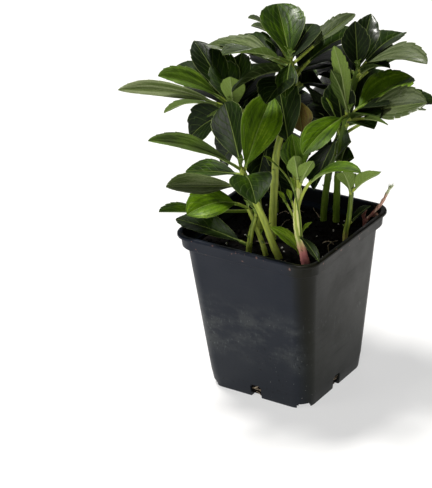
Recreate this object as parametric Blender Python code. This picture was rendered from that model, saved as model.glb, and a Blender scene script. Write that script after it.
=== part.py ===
"""Potted pachysandra: a square nursery pot of soil with leafy shoots and a dry broken stem.

Units are metres, and the tables below are in millimetres. +Z is up, the origin is the middle of
the pot's underside, and the pot's sides run along X and Y.
"""

import math

import bmesh
import bpy
import numpy as np
from mathutils import Matrix, Vector
from mathutils.bvhtree import BVHTree

MM = 0.001

# Pot: widths are across the flats of a square with round corners
POT_HEIGHT = 96.5
LIP_WIDTH = 90.0
LIP_HEIGHT = 1.8
BAND_WIDTH = 87.2
BAND_HEIGHT = 8.0
WALL_TOP_WIDTH = 81.0
WALL_FOOT_WIDTH = 67.0
POT_FOOT_WIDTH = 65.0
FOOT_HEIGHT = 9.0
TOP_CORNER = 10.7
FOOT_CORNER = 9.6
WALL = 1.3
FLOOR = 1.4
CORNER_STEPS = 5

# Drain slots through the foot of the walls: width, height and how far each runs under the floor
SIDE_SLOT = (7.0, 8.0, 9.0)
CORNER_SLOT = (8.0, 3.0, 7.0)

# Soil, and the plain holes that the stems stand in
SOIL_LEVEL = 86.0
SOIL_CROWN = 1.2
GAP = 0.3

# Leaf blades and their stalks
STALK_RADIUS = 0.95
BLADE_THICKNESS = 0.8
FOLD = 20.0
# Along the blade: place, half width as a share of the widest, forward lean of the edge
TOOTHED_OUTLINE = (
    (0.16, 0.36, 0.0),
    (0.38, 0.78, 0.0),
    (0.58, 1.00, 0.02),
    (0.64, 0.90, 0.0),
    (0.76, 0.80, 0.02),
    (0.81, 0.66, 0.0),
    (0.91, 0.44, 0.015),
    (1.00, 0.04, 0.0),
)
YOUNG_OUTLINE = (
    (0.30, 0.70, 0.0),
    (0.60, 1.00, 0.02),
    (0.70, 0.78, 0.0),
    (0.88, 0.50, 0.02),
    (1.00, 0.05, 0.0),
)
YOUNG_LENGTH = 36.0

# The place the plant is drawn from: a leaf's tip is given where it shows from there, in a
# picture 432 wide and 488 high, and its reach is the leaf's length, away from it if negative
PICTURE_CENTRE = (216, 244)
VIEW_TARGET = Vector((0, 0, 60 * MM))
VIEW_DISTANCE = 1.2
VIEW_AZIMUTH = 32.5
VIEW_ELEVATION = 27.0
AIM_YAW, AIM_PITCH, AIM_ROLL = 2.0, -1.0, -2.5
PIXELS_PER_RADIAN = 2142

# How a leaf may shift to lie clear of those already placed: reach and turn about its rib
SETTLE_STEPS = sorted(
    ((reach, turn) for reach in (0, 3, -3, 6, -6, 10, -10) for turn in (0, 14, -14, 28, -28, 45, -45)),
    key=lambda step: abs(step[0]) / 3 + abs(step[1]) / 14,
)


def seen(at, tip, reach, width, face=0, arch=0.08, stalk=0.2, young=False):
    """A leaf with its tip at a picture point; face turns its upper side to the viewer."""
    return {"at": at, "tip": tip, "reach": reach, "width": width, "face": face, "arch": arch,
            "stalk": stalk, "young": young}


def hidden(at, heading, lift, reach, width, arch=0.1, stalk=0.22):
    """A leaf on the far side, by compass heading and lift above level in degrees."""
    return {"at": at, "heading": heading, "lift": lift, "reach": reach, "width": width,
            "face": 0, "arch": arch, "stalk": stalk, "young": False}


# Each shoot: the stem's route from its buried foot, its radii at foot and top, and its leaves,
# each at a share of the stem's length
SHOOTS = {
    "dry_stem": {
        "route": ((33, 33, 76), (33, 33, 88), (41, 37, 100), (44, 43, 109)),
        "radii": (1.1, 0.8),
        "leaves": (
            seen(0.30, (369, 206), 12, 5, -20, 0.10, 0.20, True),
            seen(0.42, (379, 216), 9, 4, 20, 0.20, 0.20, True),
        ),
    },
    "shoot_front_left": {
        "route": ((14, -26, 76), (14, -26, 86), (10, -26, 95), (5, -27, 110), (-1, -30, 127),
                  (-5, -32, 140)),
        "radii": (2.2, 1.6),
        "leaves": (
            seen(1.00, (225, 103), -44, 22, 35, 0.04, 0.08),
            seen(0.94, (272, 96), -48, 24, 30, 0.04, 0.08),
            seen(0.97, (148, 141), 57, 16, 18, 0.07, 0.10),
            seen(0.93, (186, 171), -36, 16, 20, 0.02, 0.12),
            seen(0.84, (166, 187), 48, 17, 22, -0.01, 0.15),
            seen(0.92, (256, 204), 32, 25, 0, 0.14, 0.08),
        ),
    },
    "shoot_corner": {
        "route": ((29, -24, 76), (29, -24, 87), (24, -22, 103), (22, -20, 114), (21, -16, 128)),
        "radii": (2.5, 1.5),
        "leaves": (
            seen(0.72, (361, 173), 50, 15, 5, 0.22, 0.42),
            seen(0.85, (277, 75), -75, 30, 20, 0.03, 0.44),
            seen(0.98, (292, 134), 30, 17, 30, 0.05, 0.30),
            seen(0.95, (313, 161), 22, 10, -40, 0.05, 0.30, True),
            seen(0.97, (294, 156), 24, 10, -40, 0.05, 0.30, True),
            seen(0.50, (319, 262), 26, 6, 0, 0.06, 0.10, True),
            seen(0.22, (270, 227), 24, 9, 20, 0.10, 0.20, True),
            seen(0.50, (312, 222), 9, 4, 0, 0.05, 0.20, True),
            seen(0.58, (278, 191), 22, 4, 0, 0.06, 0.70, True),
            seen(0.62, (287, 189), 19, 4, 0, 0.06, 0.70, True),
            seen(0.84, (264, 156), 30, 3, 0, 0.14, 0.80, True),
            seen(0.40, (290, 177), 40, 4, 0, 0.05, 0.80, True),
        ),
    },
    "shoot_low_left": {
        "route": ((-4, -29, 76), (-4, -29, 88), (-3, -27, 100), (-1, -25, 109)),
        "radii": (1.8, 1.4),
        "leaves": (
            seen(0.48, (176, 219), -47, 18, 45, 0.03, 0.12),
            seen(1.00, (259, 193), 18, 9, 0, 0.10, 0.20, True),
        ),
    },
    "shoot_low_front": {
        "route": ((5, -26, 76), (5, -26, 88), (-4, -21, 101), (-8, -22, 111)),
        "radii": (1.7, 1.2),
        "leaves": (
            seen(1.00, (187, 215), 38, 22, 35, 0.14, 0.22),
        ),
    },
    "shoot_crown": {
        "route": ((-2, -8, 76), (-2, -8, 90), (-2, -4, 120), (-2, 1, 141), (2, 13, 168), (-2, 15, 186)),
        "radii": (2.4, 1.6),
        "leaves": (
            seen(1.00, (277, 4), -38, 27, 0, 0.04, 0.04),
            seen(0.99, (313, 24), -34, 24, 0, 0.05, 0.06),
            seen(0.98, (223, 55), 58, 20, -8, 0.06),
            seen(0.96, (208, 45), -62, 24, 5, 0.04),
            seen(0.99, (248, 18), -54, 7, -60, 0.12),
            seen(0.97, (251, 26), -56, 6, -70, 0.12),
            seen(0.97, (355, 14), -50, 15, 0, 0.02, 0.34),
            seen(0.94, (232, 92), 44, 22, -40, 0.10, 0.2, True),
            seen(0.92, (258, 74), -44, 24, 30, 0.10, 0.2, True),
            seen(0.90, (322, 66), -44, 24, 20, 0.10, 0.15, True),
            seen(0.88, (314, 103), -40, 28, 45, 0.10, 0.15, True),
            seen(0.84, (302, 132), 30, 15, 20, 0.05, 0.20, True),
            hidden(0.95, 130, 2, 42, 24),
            hidden(0.91, 80, 8, 58, 28),
            hidden(0.90, 165, 5, 58, 28),
            seen(0.86, (324, 86), -40, 24, 35, 0.06, 0.20, True),
            seen(0.93, (266, 104), 32, 22, 0, 0.06, 0.12, True),
            seen(0.93, (336, 48), -50, 26, 20, 0.05, 0.12, True),
            seen(0.90, (256, 54), -48, 24, 10, 0.05, 0.10, True),
            seen(0.99, (285, 98), 25, 13, 0, 0.06, 0.10, True),
        ),
    },
    "shoot_back_left": {
        "route": ((-16, 2, 76), (-16, 2, 90), (-20, 4, 112), (-27, 6, 132), (-35, 6, 155)),
        "radii": (2.2, 1.6),
        "leaves": (
            seen(1.00, (158, 76), 48, 19, 24, 0.08),
            seen(0.98, (118, 90), 66, 12.5, 26, 0.06, 0.15),
            seen(0.96, (164, 113), -56, 8, -30, 0.11),
            seen(0.95, (190, 138), -33, 26, 45, 0.09, 0.12),
            seen(1.00, (194, 41), -50, 20, 10, 0.04, 0.15, True),
            seen(0.99, (208, 50), -44, 23, 10, 0.06, 0.10, True),
            seen(0.97, (178, 65), -48, 20, 0, 0.08),
            seen(1.00, (219, 60), -32, 20, 10, 0.05, 0.10, True),
            seen(0.98, (242, 53), -36, 22, 10, 0.05, 0.10, True),
            seen(0.93, (207, 117), 24, 9, -30, 0.10, 0.30, True),
            seen(0.97, (268, 66), -36, 26, 10, 0.05, 0.10, True),
            seen(0.96, (230, 77), 23, 15, 0, 0.05, 0.12, True),
            seen(0.26, (159, 212), 60, 16, 0, 0.0, 0.45),
            hidden(0.90, 150, 0, 56, 26),
            hidden(0.86, 110, 8, 52, 26),
            hidden(0.92, 60, 12, 35, 24),
            seen(0.76, (221, 163), -27, 32, 60, 0.05, 0.10, True),
        ),
    },
    "shoot_right": {
        "route": ((17, 29, 76), (17, 29, 90), (21, 24, 110), (23, 22, 122), (27, 21, 145), (30, 23, 158)),
        "radii": (2.1, 1.6),
        "leaves": (
            seen(0.98, (303, 155), 44, 17, 20, 0.08, 0.12),
            seen(0.95, (334, 46), 46, 10, -35, 0.04, 0.12),
            seen(0.97, (331, 70), 32, 9, -70, 0.05, 0.10),
            seen(0.97, (412, 77), -50, 24, 15, 0.05, 0.15),
            seen(0.95, (427, 103), 52, 23, 35, 0.03, 0.25),
            seen(0.93, (380, 117), 30, 18, 0, 0.10, 0.20, True),
            seen(0.94, (390, 105), 32, 20, 0, 0.05, 0.12, True),
            seen(0.90, (374, 129), 28, 20, 0, 0.10, 0.20, True),
            seen(0.92, (388, 125), 34, 8, -40, 0.10, 0.50, True),
            seen(0.60, (351, 142), 30, 20, 60, 0.08, 0.2, True),
            seen(0.50, (354, 158), 28, 18, 50, 0.10, 0.2, True),
            seen(0.80, (318, 98), -44, 24, 30, 0.05, 0.30, True),
            seen(0.80, (326, 98), 26, 5, 0, 0.05, 0.30, True),
            seen(0.84, (337, 96), 20, 5, 0, 0.05, 0.30, True),
            seen(0.86, (334, 80), -28, 20, 20, 0.05, 0.12, True),
            hidden(0.88, 90, 10, 58, 28),
            hidden(0.95, 35, 7, 50, 26),
            hidden(0.84, 55, 6, 50, 28),
            seen(0.66, (304, 126), -38, 24, 40, 0.06, 0.20, True),
        ),
    },
    "shoot_back_right": {
        "route": ((10, 27, 76), (10, 27, 90), (14, 25, 112), (17, 28, 130), (21, 36, 153), (27, 38, 177)),
        "radii": (2.1, 1.6),
        "leaves": (
            seen(1.00, (371, 14), -40, 17, 10, 0.04, 0.05),
            seen(0.99, (355, 21), -36, 17, 10, 0.04, 0.08),
            seen(0.97, (403, 33), -50, 20, 0, 0.08),
            seen(0.99, (427, 64), 44, 28, 5, 0.11, 0.05),
            seen(0.95, (390, 68), 34, 12, 0, 0.10, 0.2, True),
            hidden(0.90, 130, 0, 52, 26),
            hidden(0.92, 75, 5, 46, 26),
            seen(0.96, (326, 50), -42, 26, 20, 0.05, 0.12, True),
            seen(0.90, (324, 60), -48, 22, 20, 0.05, 0.12, True),
            seen(0.92, (330, 70), -34, 28, 20, 0.05, 0.12, True),
            seen(0.84, (318, 84), -52, 28, 20, 0.05, 0.12, True),
            seen(0.64, (314, 190), 30, 22, 0, 0.06, 0.15, True),
        ),
    },
    "shoot_young": {
        "route": ((33, 12, 76), (33, 12, 90), (35, 13, 101), (35, 16, 115)),
        "radii": (1.7, 1.3),
        "leaves": (
            seen(1.00, (381, 172), 26, 14, -30, 0.04, 0.15, True),
            seen(0.95, (343, 172), 22, 12, 0, 0.05, 0.20, True),
            seen(0.50, (371, 206), -16, 8, 0, 0.05, 0.20, True),
        ),
    },
    "shoot_rear": {
        "route": ((-20, 24, 76), (-20, 24, 90), (-22, 27, 115), (-24, 30, 140)),
        "radii": (2.1, 1.6),
        "leaves": (
            seen(1.00, (262, 78), -34, 24, 0, 0.05, 0.10, True),
            seen(0.98, (306, 92), -38, 28, 0, 0.05, 0.10, True),
            hidden(1.00, 84, 24, 44, 24),
            hidden(0.96, 112, 10, 54, 26),
            hidden(0.92, 150, 2, 46, 26),
            hidden(0.80, 330, -2, 34, 24),
            hidden(0.72, 88, -10, 35, 24),
            hidden(0.60, 140, -12, 35, 22),
            seen(0.95, (256, 186), 40, 24, 0, 0.06, 0.15, True),
            seen(0.90, (291, 184), 38, 24, 0, 0.06, 0.15, True),
            seen(0.62, (283, 203), 26, 20, 0, 0.06, 0.15, True),
        ),
    },
}

PAINTS = {
    "pot": ((0.035, 0.038, 0.043), 0.5),
    "soil": ((0.018, 0.014, 0.011), 0.95),
    "foliage": ((0.06, 0.16, 0.03), 0.35),
    "dry_stem": ((0.35, 0.16, 0.12), 0.8),
}


def clear_scene():
    for thing in list(bpy.data.objects):
        bpy.data.objects.remove(thing, do_unlink=True)


def paint(name):
    """The sub-part's own material."""
    colour, roughness = PAINTS[name]
    material = bpy.data.materials.new(name)
    material.use_nodes = True
    shader = material.node_tree.nodes["Principled BSDF"]
    shader.inputs["Base Color"].default_value = (*colour, 1.0)
    shader.inputs["Roughness"].default_value = roughness
    shader.inputs["Metallic"].default_value = 0.0
    return material


def add_object(name, mesh, collection, material=None):
    thing = bpy.data.objects.new(name, mesh)
    collection.objects.link(thing)
    if material:
        mesh.materials.append(material)
    return thing


def new_collection(name):
    collection = bpy.data.collections.new(name)
    bpy.context.scene.collection.children.link(collection)
    return collection


def rounded_square(width, corner, height):
    """A ring of points round a square with round corners, in metres, counter-clockwise."""
    points = []
    inset = width / 2 - corner
    for quarter, (sx, sy) in enumerate(((1, 1), (-1, 1), (-1, -1), (1, -1))):
        for step in range(CORNER_STEPS + 1):
            angle = math.radians(90 * (quarter + step / CORNER_STEPS))
            x = sx * inset + corner * math.cos(angle)
            y = sy * inset + corner * math.sin(angle)
            points.append(Vector((x, y, height)) * MM)
    return points


def loft(name, rings):
    """A closed body through rings of points, each with the same count, capped at both ends."""
    shape = bmesh.new()
    rows = [[shape.verts.new(point) for point in ring] for ring in rings]
    for lower, upper in zip(rows, rows[1:]):
        for k in range(len(lower)):
            after = (k + 1) % len(lower)
            shape.faces.new((lower[k], lower[after], upper[after], upper[k]))
    shape.faces.new(rows[0][::-1])
    shape.faces.new(rows[-1])
    bmesh.ops.recalc_face_normals(shape, faces=shape.faces)
    mesh = bpy.data.meshes.new(name)
    shape.to_mesh(mesh)
    shape.free()
    return mesh


def wall_width(height):
    """Outer width of the tapering wall at a height above its steeper foot."""
    share = (height - FOOT_HEIGHT) / (POT_HEIGHT - BAND_HEIGHT - 2.0 - FOOT_HEIGHT)
    return WALL_FOOT_WIDTH + share * (WALL_TOP_WIDTH - WALL_FOOT_WIDTH)


def pot_rings():
    """Outer surface from the floor up to the lip, then the inner surface down to the floor."""
    band_foot = POT_HEIGHT - BAND_HEIGHT
    lip_foot = POT_HEIGHT - LIP_HEIGHT
    outer = (
        (POT_FOOT_WIDTH - 1.2, FOOT_CORNER, 0.0),
        (POT_FOOT_WIDTH, FOOT_CORNER, 0.8),
        (WALL_FOOT_WIDTH, FOOT_CORNER, FOOT_HEIGHT),
        (WALL_TOP_WIDTH, TOP_CORNER - 1.0, band_foot - 2.0),
        (BAND_WIDTH - 0.8, TOP_CORNER, band_foot),
        (BAND_WIDTH, TOP_CORNER, lip_foot - 0.5),
        (LIP_WIDTH, TOP_CORNER, lip_foot),
        (LIP_WIDTH, TOP_CORNER, POT_HEIGHT - 0.5),
        (LIP_WIDTH - 1.0, TOP_CORNER, POT_HEIGHT),
    )
    inner = (
        (BAND_WIDTH - 2 * WALL + 0.6, TOP_CORNER - WALL, POT_HEIGHT),
        (BAND_WIDTH - 2 * WALL, TOP_CORNER - WALL, POT_HEIGHT - 0.5),
        (BAND_WIDTH - 2 * WALL - 0.8, TOP_CORNER - WALL, band_foot + 0.6),
        (WALL_TOP_WIDTH - 2 * WALL, TOP_CORNER - 1.0 - WALL, band_foot - 1.4),
        (WALL_FOOT_WIDTH - 2 * WALL, FOOT_CORNER - WALL, FOOT_HEIGHT),
        (POT_FOOT_WIDTH - 2 * WALL, FOOT_CORNER - WALL, FLOOR),
    )
    return [rounded_square(*ring) for ring in outer + inner]


def slot_cutter(name, size, turn, reach, collection):
    """A block through the foot of the wall and the floor's edge, turned about the pot's axis."""
    width, height, depth = (value * MM for value in size)
    shape = bmesh.new()
    bmesh.ops.create_cube(shape, size=1.0)
    bmesh.ops.scale(shape, vec=(depth * 2, width, height * 2), verts=shape.verts)
    bmesh.ops.translate(shape, vec=(reach * MM, 0, 0), verts=shape.verts)
    mesh = bpy.data.meshes.new(name)
    shape.to_mesh(mesh)
    shape.free()
    cutter = add_object(name, mesh, collection)
    cutter.rotation_euler = (0, 0, math.radians(turn))
    cutter.hide_render = True
    cutter.display_type = "WIRE"


def make_pot(collection):
    pot = add_object("pot", loft("pot", pot_rings()), collection, paint("pot"))
    cutters = new_collection("pot_cutters")
    half = POT_FOOT_WIDTH / 2
    corner_reach = half * math.sqrt(2) - FOOT_CORNER * (math.sqrt(2) - 1)
    for quarter in range(4):
        slot_cutter(f"side_slot_{quarter}", SIDE_SLOT, 90 * quarter, half, cutters)
        slot_cutter(f"corner_slot_{quarter}", CORNER_SLOT, 90 * quarter + 45, corner_reach, cutters)
    cut = pot.modifiers.new("drain slots", "BOOLEAN")
    cut.operation = "DIFFERENCE"
    cut.operand_type = "COLLECTION"
    cut.collection = cutters
    cut.solver = "EXACT"
    return pot


def make_soil(collection):
    """The block of mix, with a hole for each stem."""
    gap = 2 * (WALL + GAP)
    foot_width = POT_FOOT_WIDTH - gap
    top_width = wall_width(SOIL_LEVEL - 1.5) - gap
    rings = (
        (foot_width, FOOT_CORNER - WALL, FLOOR + GAP),
        (WALL_FOOT_WIDTH - gap, FOOT_CORNER - WALL, FOOT_HEIGHT),
        (top_width, TOP_CORNER - 1.0 - WALL, SOIL_LEVEL - 1.5),
        (top_width - 5, TOP_CORNER - 3.0, SOIL_LEVEL),
        (top_width / 2, TOP_CORNER, SOIL_LEVEL + SOIL_CROWN),
    )
    soil = add_object("soil", loft("soil", [rounded_square(*ring) for ring in rings]),
                      collection, paint("soil"))
    cutters = new_collection("soil_cutters")
    for number, shoot in enumerate(SHOOTS.values()):
        foot, radius = shoot["route"][0], shoot["radii"][0]
        shape = bmesh.new()
        bmesh.ops.create_cone(shape, cap_ends=True, segments=12, radius1=(radius + 2 * GAP) * MM,
                              radius2=(radius + 2 * GAP) * MM, depth=30 * MM)
        mesh = bpy.data.meshes.new(f"stem_hole_{number}")
        shape.to_mesh(mesh)
        shape.free()
        hole = add_object(f"stem_hole_{number}", mesh, cutters)
        hole.location = (foot[0] * MM, foot[1] * MM, (foot[2] - GAP + 15) * MM)
        hole.hide_render = True
        hole.display_type = "WIRE"
    cut = soil.modifiers.new("stem holes", "BOOLEAN")
    cut.operation = "DIFFERENCE"
    cut.operand_type = "COLLECTION"
    cut.collection = cutters
    cut.solver = "EXACT"
    return soil


def smooth_route(points, count):
    """Count points, evenly spaced along a smooth curve through the route's own points."""
    spots = [Vector(point) * MM for point in points]
    spots = [2 * spots[0] - spots[1]] + spots + [2 * spots[-1] - spots[-2]]
    fine = []
    for a, b, c, d in zip(spots, spots[1:], spots[2:], spots[3:]):
        for step in range(8):
            t = step / 8
            fine.append(0.5 * (2 * b + (c - a) * t + (2 * a - 5 * b + 4 * c - d) * t**2
                               + (3 * b - a - 3 * c + d) * t**3))
    fine.append(spots[-2])
    run = [0.0]
    for a, b in zip(fine, fine[1:]):
        run.append(run[-1] + (b - a).length)
    wanted = np.linspace(0, run[-1], count)
    return [Vector([np.interp(s, run, [p[axis] for p in fine]) for axis in range(3)]) for s in wanted]


def make_tube(name, points, radii, collection):
    """A round tube along the points, its radius easing from the first to the second."""
    curve = bpy.data.curves.new(name, "CURVE")
    curve.dimensions = "3D"
    curve.bevel_depth = radii[0] * MM
    curve.bevel_resolution = 2
    curve.use_fill_caps = True
    spline = curve.splines.new("POLY")
    spline.points.add(len(points) - 1)
    for k, point in enumerate(points):
        spline.points[k].co = (*point, 1)
        spline.points[k].radius = 1 + (radii[1] / radii[0] - 1) * k / (len(points) - 1)
    drawn = add_object(name + "_curve", curve, collection)
    graph = bpy.context.evaluated_depsgraph_get()
    mesh = bpy.data.meshes.new_from_object(drawn.evaluated_get(graph))
    bpy.data.objects.remove(drawn, do_unlink=True)
    shape = bmesh.new()
    shape.from_mesh(mesh)
    bmesh.ops.remove_doubles(shape, verts=shape.verts, dist=0.00001)
    bmesh.ops.recalc_face_normals(shape, faces=shape.faces)
    shape.to_mesh(mesh)
    shape.free()
    return add_object(name, mesh, collection)


def sight_line(pixel):
    """The viewing place, and the direction from it through a picture point."""
    azimuth, elevation = math.radians(VIEW_AZIMUTH), math.radians(VIEW_ELEVATION)
    eye = VIEW_TARGET + VIEW_DISTANCE * backward(azimuth, elevation)
    azimuth += math.radians(AIM_YAW)
    elevation += math.radians(AIM_PITCH)
    back = backward(azimuth, elevation)
    right = Vector((math.cos(azimuth), math.sin(azimuth), 0))
    up = back.cross(right)
    roll = math.radians(AIM_ROLL)
    right, up = (math.cos(roll) * right + math.sin(roll) * up,
                 math.cos(roll) * up - math.sin(roll) * right)
    across = (pixel[0] - PICTURE_CENTRE[0]) / PIXELS_PER_RADIAN
    down = (pixel[1] - PICTURE_CENTRE[1]) / PIXELS_PER_RADIAN
    return eye, (right * across - up * down - back).normalized()


def backward(azimuth, elevation):
    return Vector((math.sin(azimuth) * math.cos(elevation),
                   -math.cos(azimuth) * math.cos(elevation),
                   math.sin(elevation)))


def tip_of(leaf, base, extra_reach):
    """The leaf's tip: on its picture point's sight line, or by heading and lift."""
    reach = (abs(leaf["reach"]) + extra_reach) * MM
    if "heading" in leaf:
        heading, lift = math.radians(leaf["heading"]), math.radians(leaf["lift"])
        return base + reach * Vector((math.cos(lift) * math.cos(heading),
                                      math.cos(lift) * math.sin(heading), math.sin(lift)))
    eye, along = sight_line(leaf["tip"])
    nearest = (base - eye).dot(along)
    miss = (eye + along * nearest - base).length
    depth = math.sqrt(max(reach**2 - miss**2, 0.0))
    return eye + along * (nearest - math.copysign(depth, leaf["reach"]))


def upper_side(chord, leaf, turn):
    """Which way the blade's upper side faces: up and towards the stem, then turned to the viewer."""
    inward = Vector((-chord.x, -chord.y, 0)) / chord.length
    rib = chord.normalized()
    lean = Vector((0, 0, 1)) + 0.5 * inward
    normal = (lean - rib * lean.dot(rib)).normalized()
    viewer = backward(math.radians(VIEW_AZIMUTH), math.radians(VIEW_ELEVATION))
    sign = 1 if rib.cross(normal).dot(viewer) >= 0 else -1
    turned = Matrix.Rotation(sign * math.radians(leaf["face"] + turn), 3, rib) @ normal
    return normal, turned


def leaf_sections(leaf, base, extra_reach=0, turn=0, margin=0):
    """Six-point sections along the leaf: stalk, blade with its toothed edge, and tip."""
    tip = tip_of(leaf, base, extra_reach)
    chord = tip - base
    bend, normal = upper_side(chord, leaf, turn)
    length = chord.length
    half_width = leaf["width"] * MM / 2
    outline = YOUNG_OUTLINE if leaf["young"] or length < YOUNG_LENGTH * MM else TOOTHED_OUTLINE
    stalk = min(STALK_RADIUS * MM, half_width / 3) + margin * MM
    blade = (BLADE_THICKNESS / 2 + margin) * MM
    stalk_share = leaf["stalk"]
    stations = [(0.0, stalk, stalk, 0.0, 0.0), (stalk_share, stalk, stalk, 0.0, 0.0)]
    for place, width, lean in outline:
        along = stalk_share + (1 - stalk_share) * place
        half = max(width * half_width, 0.5 * MM) + margin * MM
        stations.append((along, half, blade, lean * length, math.radians(FOLD)))
    sections = []
    for along, half, thick, lean, fold in stations:
        spot = base + chord * along + bend * (4 * leaf["arch"] * length * along * (1 - along))
        tangent = (chord + bend * (4 * leaf["arch"] * length * (1 - 2 * along))).normalized()
        face = (normal - tangent * normal.dot(tangent)).normalized()
        side = tangent.cross(face)
        rise = face * (half * math.sin(fold)) + tangent * lean
        spread = side * (half * math.cos(fold))
        sections.append([
            spot + spread + rise + face * thick,
            spot + face * thick,
            spot - spread + rise + face * thick,
            spot - spread + rise - face * thick,
            spot - face * thick,
            spot + spread + rise - face * thick,
        ])
    return sections


def leaf_body(sections):
    """Points and triangles of the closed leaf, split alike on its upper and lower side."""
    points = [point for section in sections for point in section]
    count = len(sections)
    faces = [(0, 1, 5), (1, 4, 5), (1, 2, 4), (2, 3, 4)]
    for row in range(count - 1):
        low, high = 6 * row, 6 * (row + 1)
        # Each pair runs along one strip, and the split starts at the strip's outer edge
        for outer, inner in ((0, 1), (2, 1), (3, 4), (5, 4), (2, 3), (0, 5)):
            forward = (inner - outer) % 6 == 1
            first = (low + outer, high + outer, high + inner)
            second = (low + outer, high + inner, low + inner)
            faces += [first, second] if forward else [first[::-1], second[::-1]]
    last = 6 * (count - 1)
    faces += [(last + c, last + b, last + a) for a, b, c in ((0, 1, 5), (1, 4, 5), (1, 2, 4), (2, 3, 4))]
    return points, faces


def settle(leaf, base, neighbours):
    """The first shift at which the leaf, with a little room round it, crosses no neighbour."""
    for extra_reach, turn in SETTLE_STEPS:
        points, faces = leaf_body(leaf_sections(leaf, base, extra_reach, turn, margin=GAP))
        tree = BVHTree.FromPolygons(points, faces)
        if not any(tree.overlap(other) for other in neighbours):
            return extra_reach, turn
    return None


def tree_of(thing):
    graph = bpy.context.evaluated_depsgraph_get()
    mesh = thing.evaluated_get(graph).to_mesh()
    points = [thing.matrix_world @ vertex.co for vertex in mesh.vertices]
    faces = [tuple(face.vertices) for face in mesh.polygons]
    return BVHTree.FromPolygons(points, faces)


def keep_main_body(shape):
    """Drops loose scraps and the skins of sealed hollows that a union leaves behind."""
    left = set(shape.verts)
    bodies = []
    while left:
        grown, edge = set(), [left.pop()]
        while edge:
            vertex = edge.pop()
            grown.add(vertex)
            for link in vertex.link_edges:
                other = link.other_vert(vertex)
                if other in left:
                    left.discard(other)
                    edge.append(other)
        bodies.append(grown)
    main = max(bodies, key=len)
    bmesh.ops.delete(shape, geom=[v for body in bodies if body is not main for v in body], context="VERTS")


def fuse(stem, leaves):
    """Joins the stem and its leaves into one closed body."""
    union = stem.modifiers.new("leaves", "BOOLEAN")
    union.operation = "UNION"
    union.operand_type = "COLLECTION"
    union.collection = leaves
    union.solver = "EXACT"
    graph = bpy.context.evaluated_depsgraph_get()
    mesh = bpy.data.meshes.new_from_object(stem.evaluated_get(graph))
    mesh.materials.clear()
    mesh.materials.append(stem.data.materials[0])
    stem.modifiers.clear()
    for leaf in list(leaves.objects):
        bpy.data.objects.remove(leaf, do_unlink=True)
    bpy.data.collections.remove(leaves)
    shape = bmesh.new()
    shape.from_mesh(mesh)
    keep_main_body(shape)
    bmesh.ops.triangulate(shape, faces=shape.faces)
    shape.to_mesh(mesh)
    shape.free()
    stem.data = mesh


def make_stem(name, shoot, collection, material):
    points = smooth_route(shoot["route"], 4 + len(shoot["route"]))
    stem = make_tube(name, points, shoot["radii"], collection)
    stem.data.materials.append(material)
    return stem


def add_leaves(stem, shoot, neighbours):
    """Grows the leaves clear of the neighbours, fuses them to the stem, and returns their trees."""
    name = stem.name
    leaves = new_collection(name + "_leaves")
    along = smooth_route(shoot["route"], 101)
    trees = []
    for number, leaf in enumerate(shoot["leaves"]):
        base = along[round(100 * leaf["at"])]
        shift = settle(leaf, base, neighbours)
        if shift is None:
            raise ValueError(f"{name} has no room for leaf {number}")
        points, faces = leaf_body(leaf_sections(leaf, base, *shift))
        mesh = bpy.data.meshes.new(f"{name}_leaf_{number}")
        mesh.from_pydata(points, [], faces)
        add_object(f"{name}_leaf_{number}", mesh, leaves)
        trees.append(BVHTree.FromPolygons(points, faces))
    fuse(stem, leaves)
    return trees


def main():
    clear_scene()
    collection = new_collection("potted_pachysandra")
    pot = make_pot(collection)
    soil = make_soil(collection)
    bpy.context.view_layer.update()
    dry, foliage = paint("dry_stem"), paint("foliage")
    stems = {name: make_stem(name, shoot, collection, dry if name == "dry_stem" else foliage)
             for name, shoot in SHOOTS.items()}
    stem_trees = {name: tree_of(stem) for name, stem in stems.items()}
    placed = [tree_of(pot), tree_of(soil)]
    for name, shoot in SHOOTS.items():
        others = [tree for other, tree in stem_trees.items() if other != name]
        placed += add_leaves(stems[name], shoot, placed + others)


main()
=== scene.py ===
"""Potted pachysandra: fine leaves, stems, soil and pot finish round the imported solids.

The tables are the solids' own, in millimetres. +Z is up, and the origin is the middle of the
pot's underside.
"""

import math
import random

import bmesh
import bpy
import numpy as np
from mathutils import Matrix, Vector, noise
from mathutils.bvhtree import BVHTree

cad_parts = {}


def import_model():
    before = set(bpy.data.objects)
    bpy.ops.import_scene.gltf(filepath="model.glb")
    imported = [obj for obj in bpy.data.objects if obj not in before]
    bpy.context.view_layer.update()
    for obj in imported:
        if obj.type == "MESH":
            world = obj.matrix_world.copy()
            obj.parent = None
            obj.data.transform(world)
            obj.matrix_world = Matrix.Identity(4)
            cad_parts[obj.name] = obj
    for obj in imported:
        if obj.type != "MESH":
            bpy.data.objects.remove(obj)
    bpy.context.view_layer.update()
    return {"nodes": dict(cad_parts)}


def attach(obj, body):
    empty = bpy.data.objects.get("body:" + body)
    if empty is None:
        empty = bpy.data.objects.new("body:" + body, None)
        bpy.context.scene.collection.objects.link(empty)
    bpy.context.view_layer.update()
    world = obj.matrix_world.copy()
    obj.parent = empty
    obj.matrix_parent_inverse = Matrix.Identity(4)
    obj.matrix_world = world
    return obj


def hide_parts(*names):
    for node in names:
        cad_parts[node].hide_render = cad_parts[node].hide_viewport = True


MM = 0.001
BLANK = (0, 0, 0)

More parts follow.
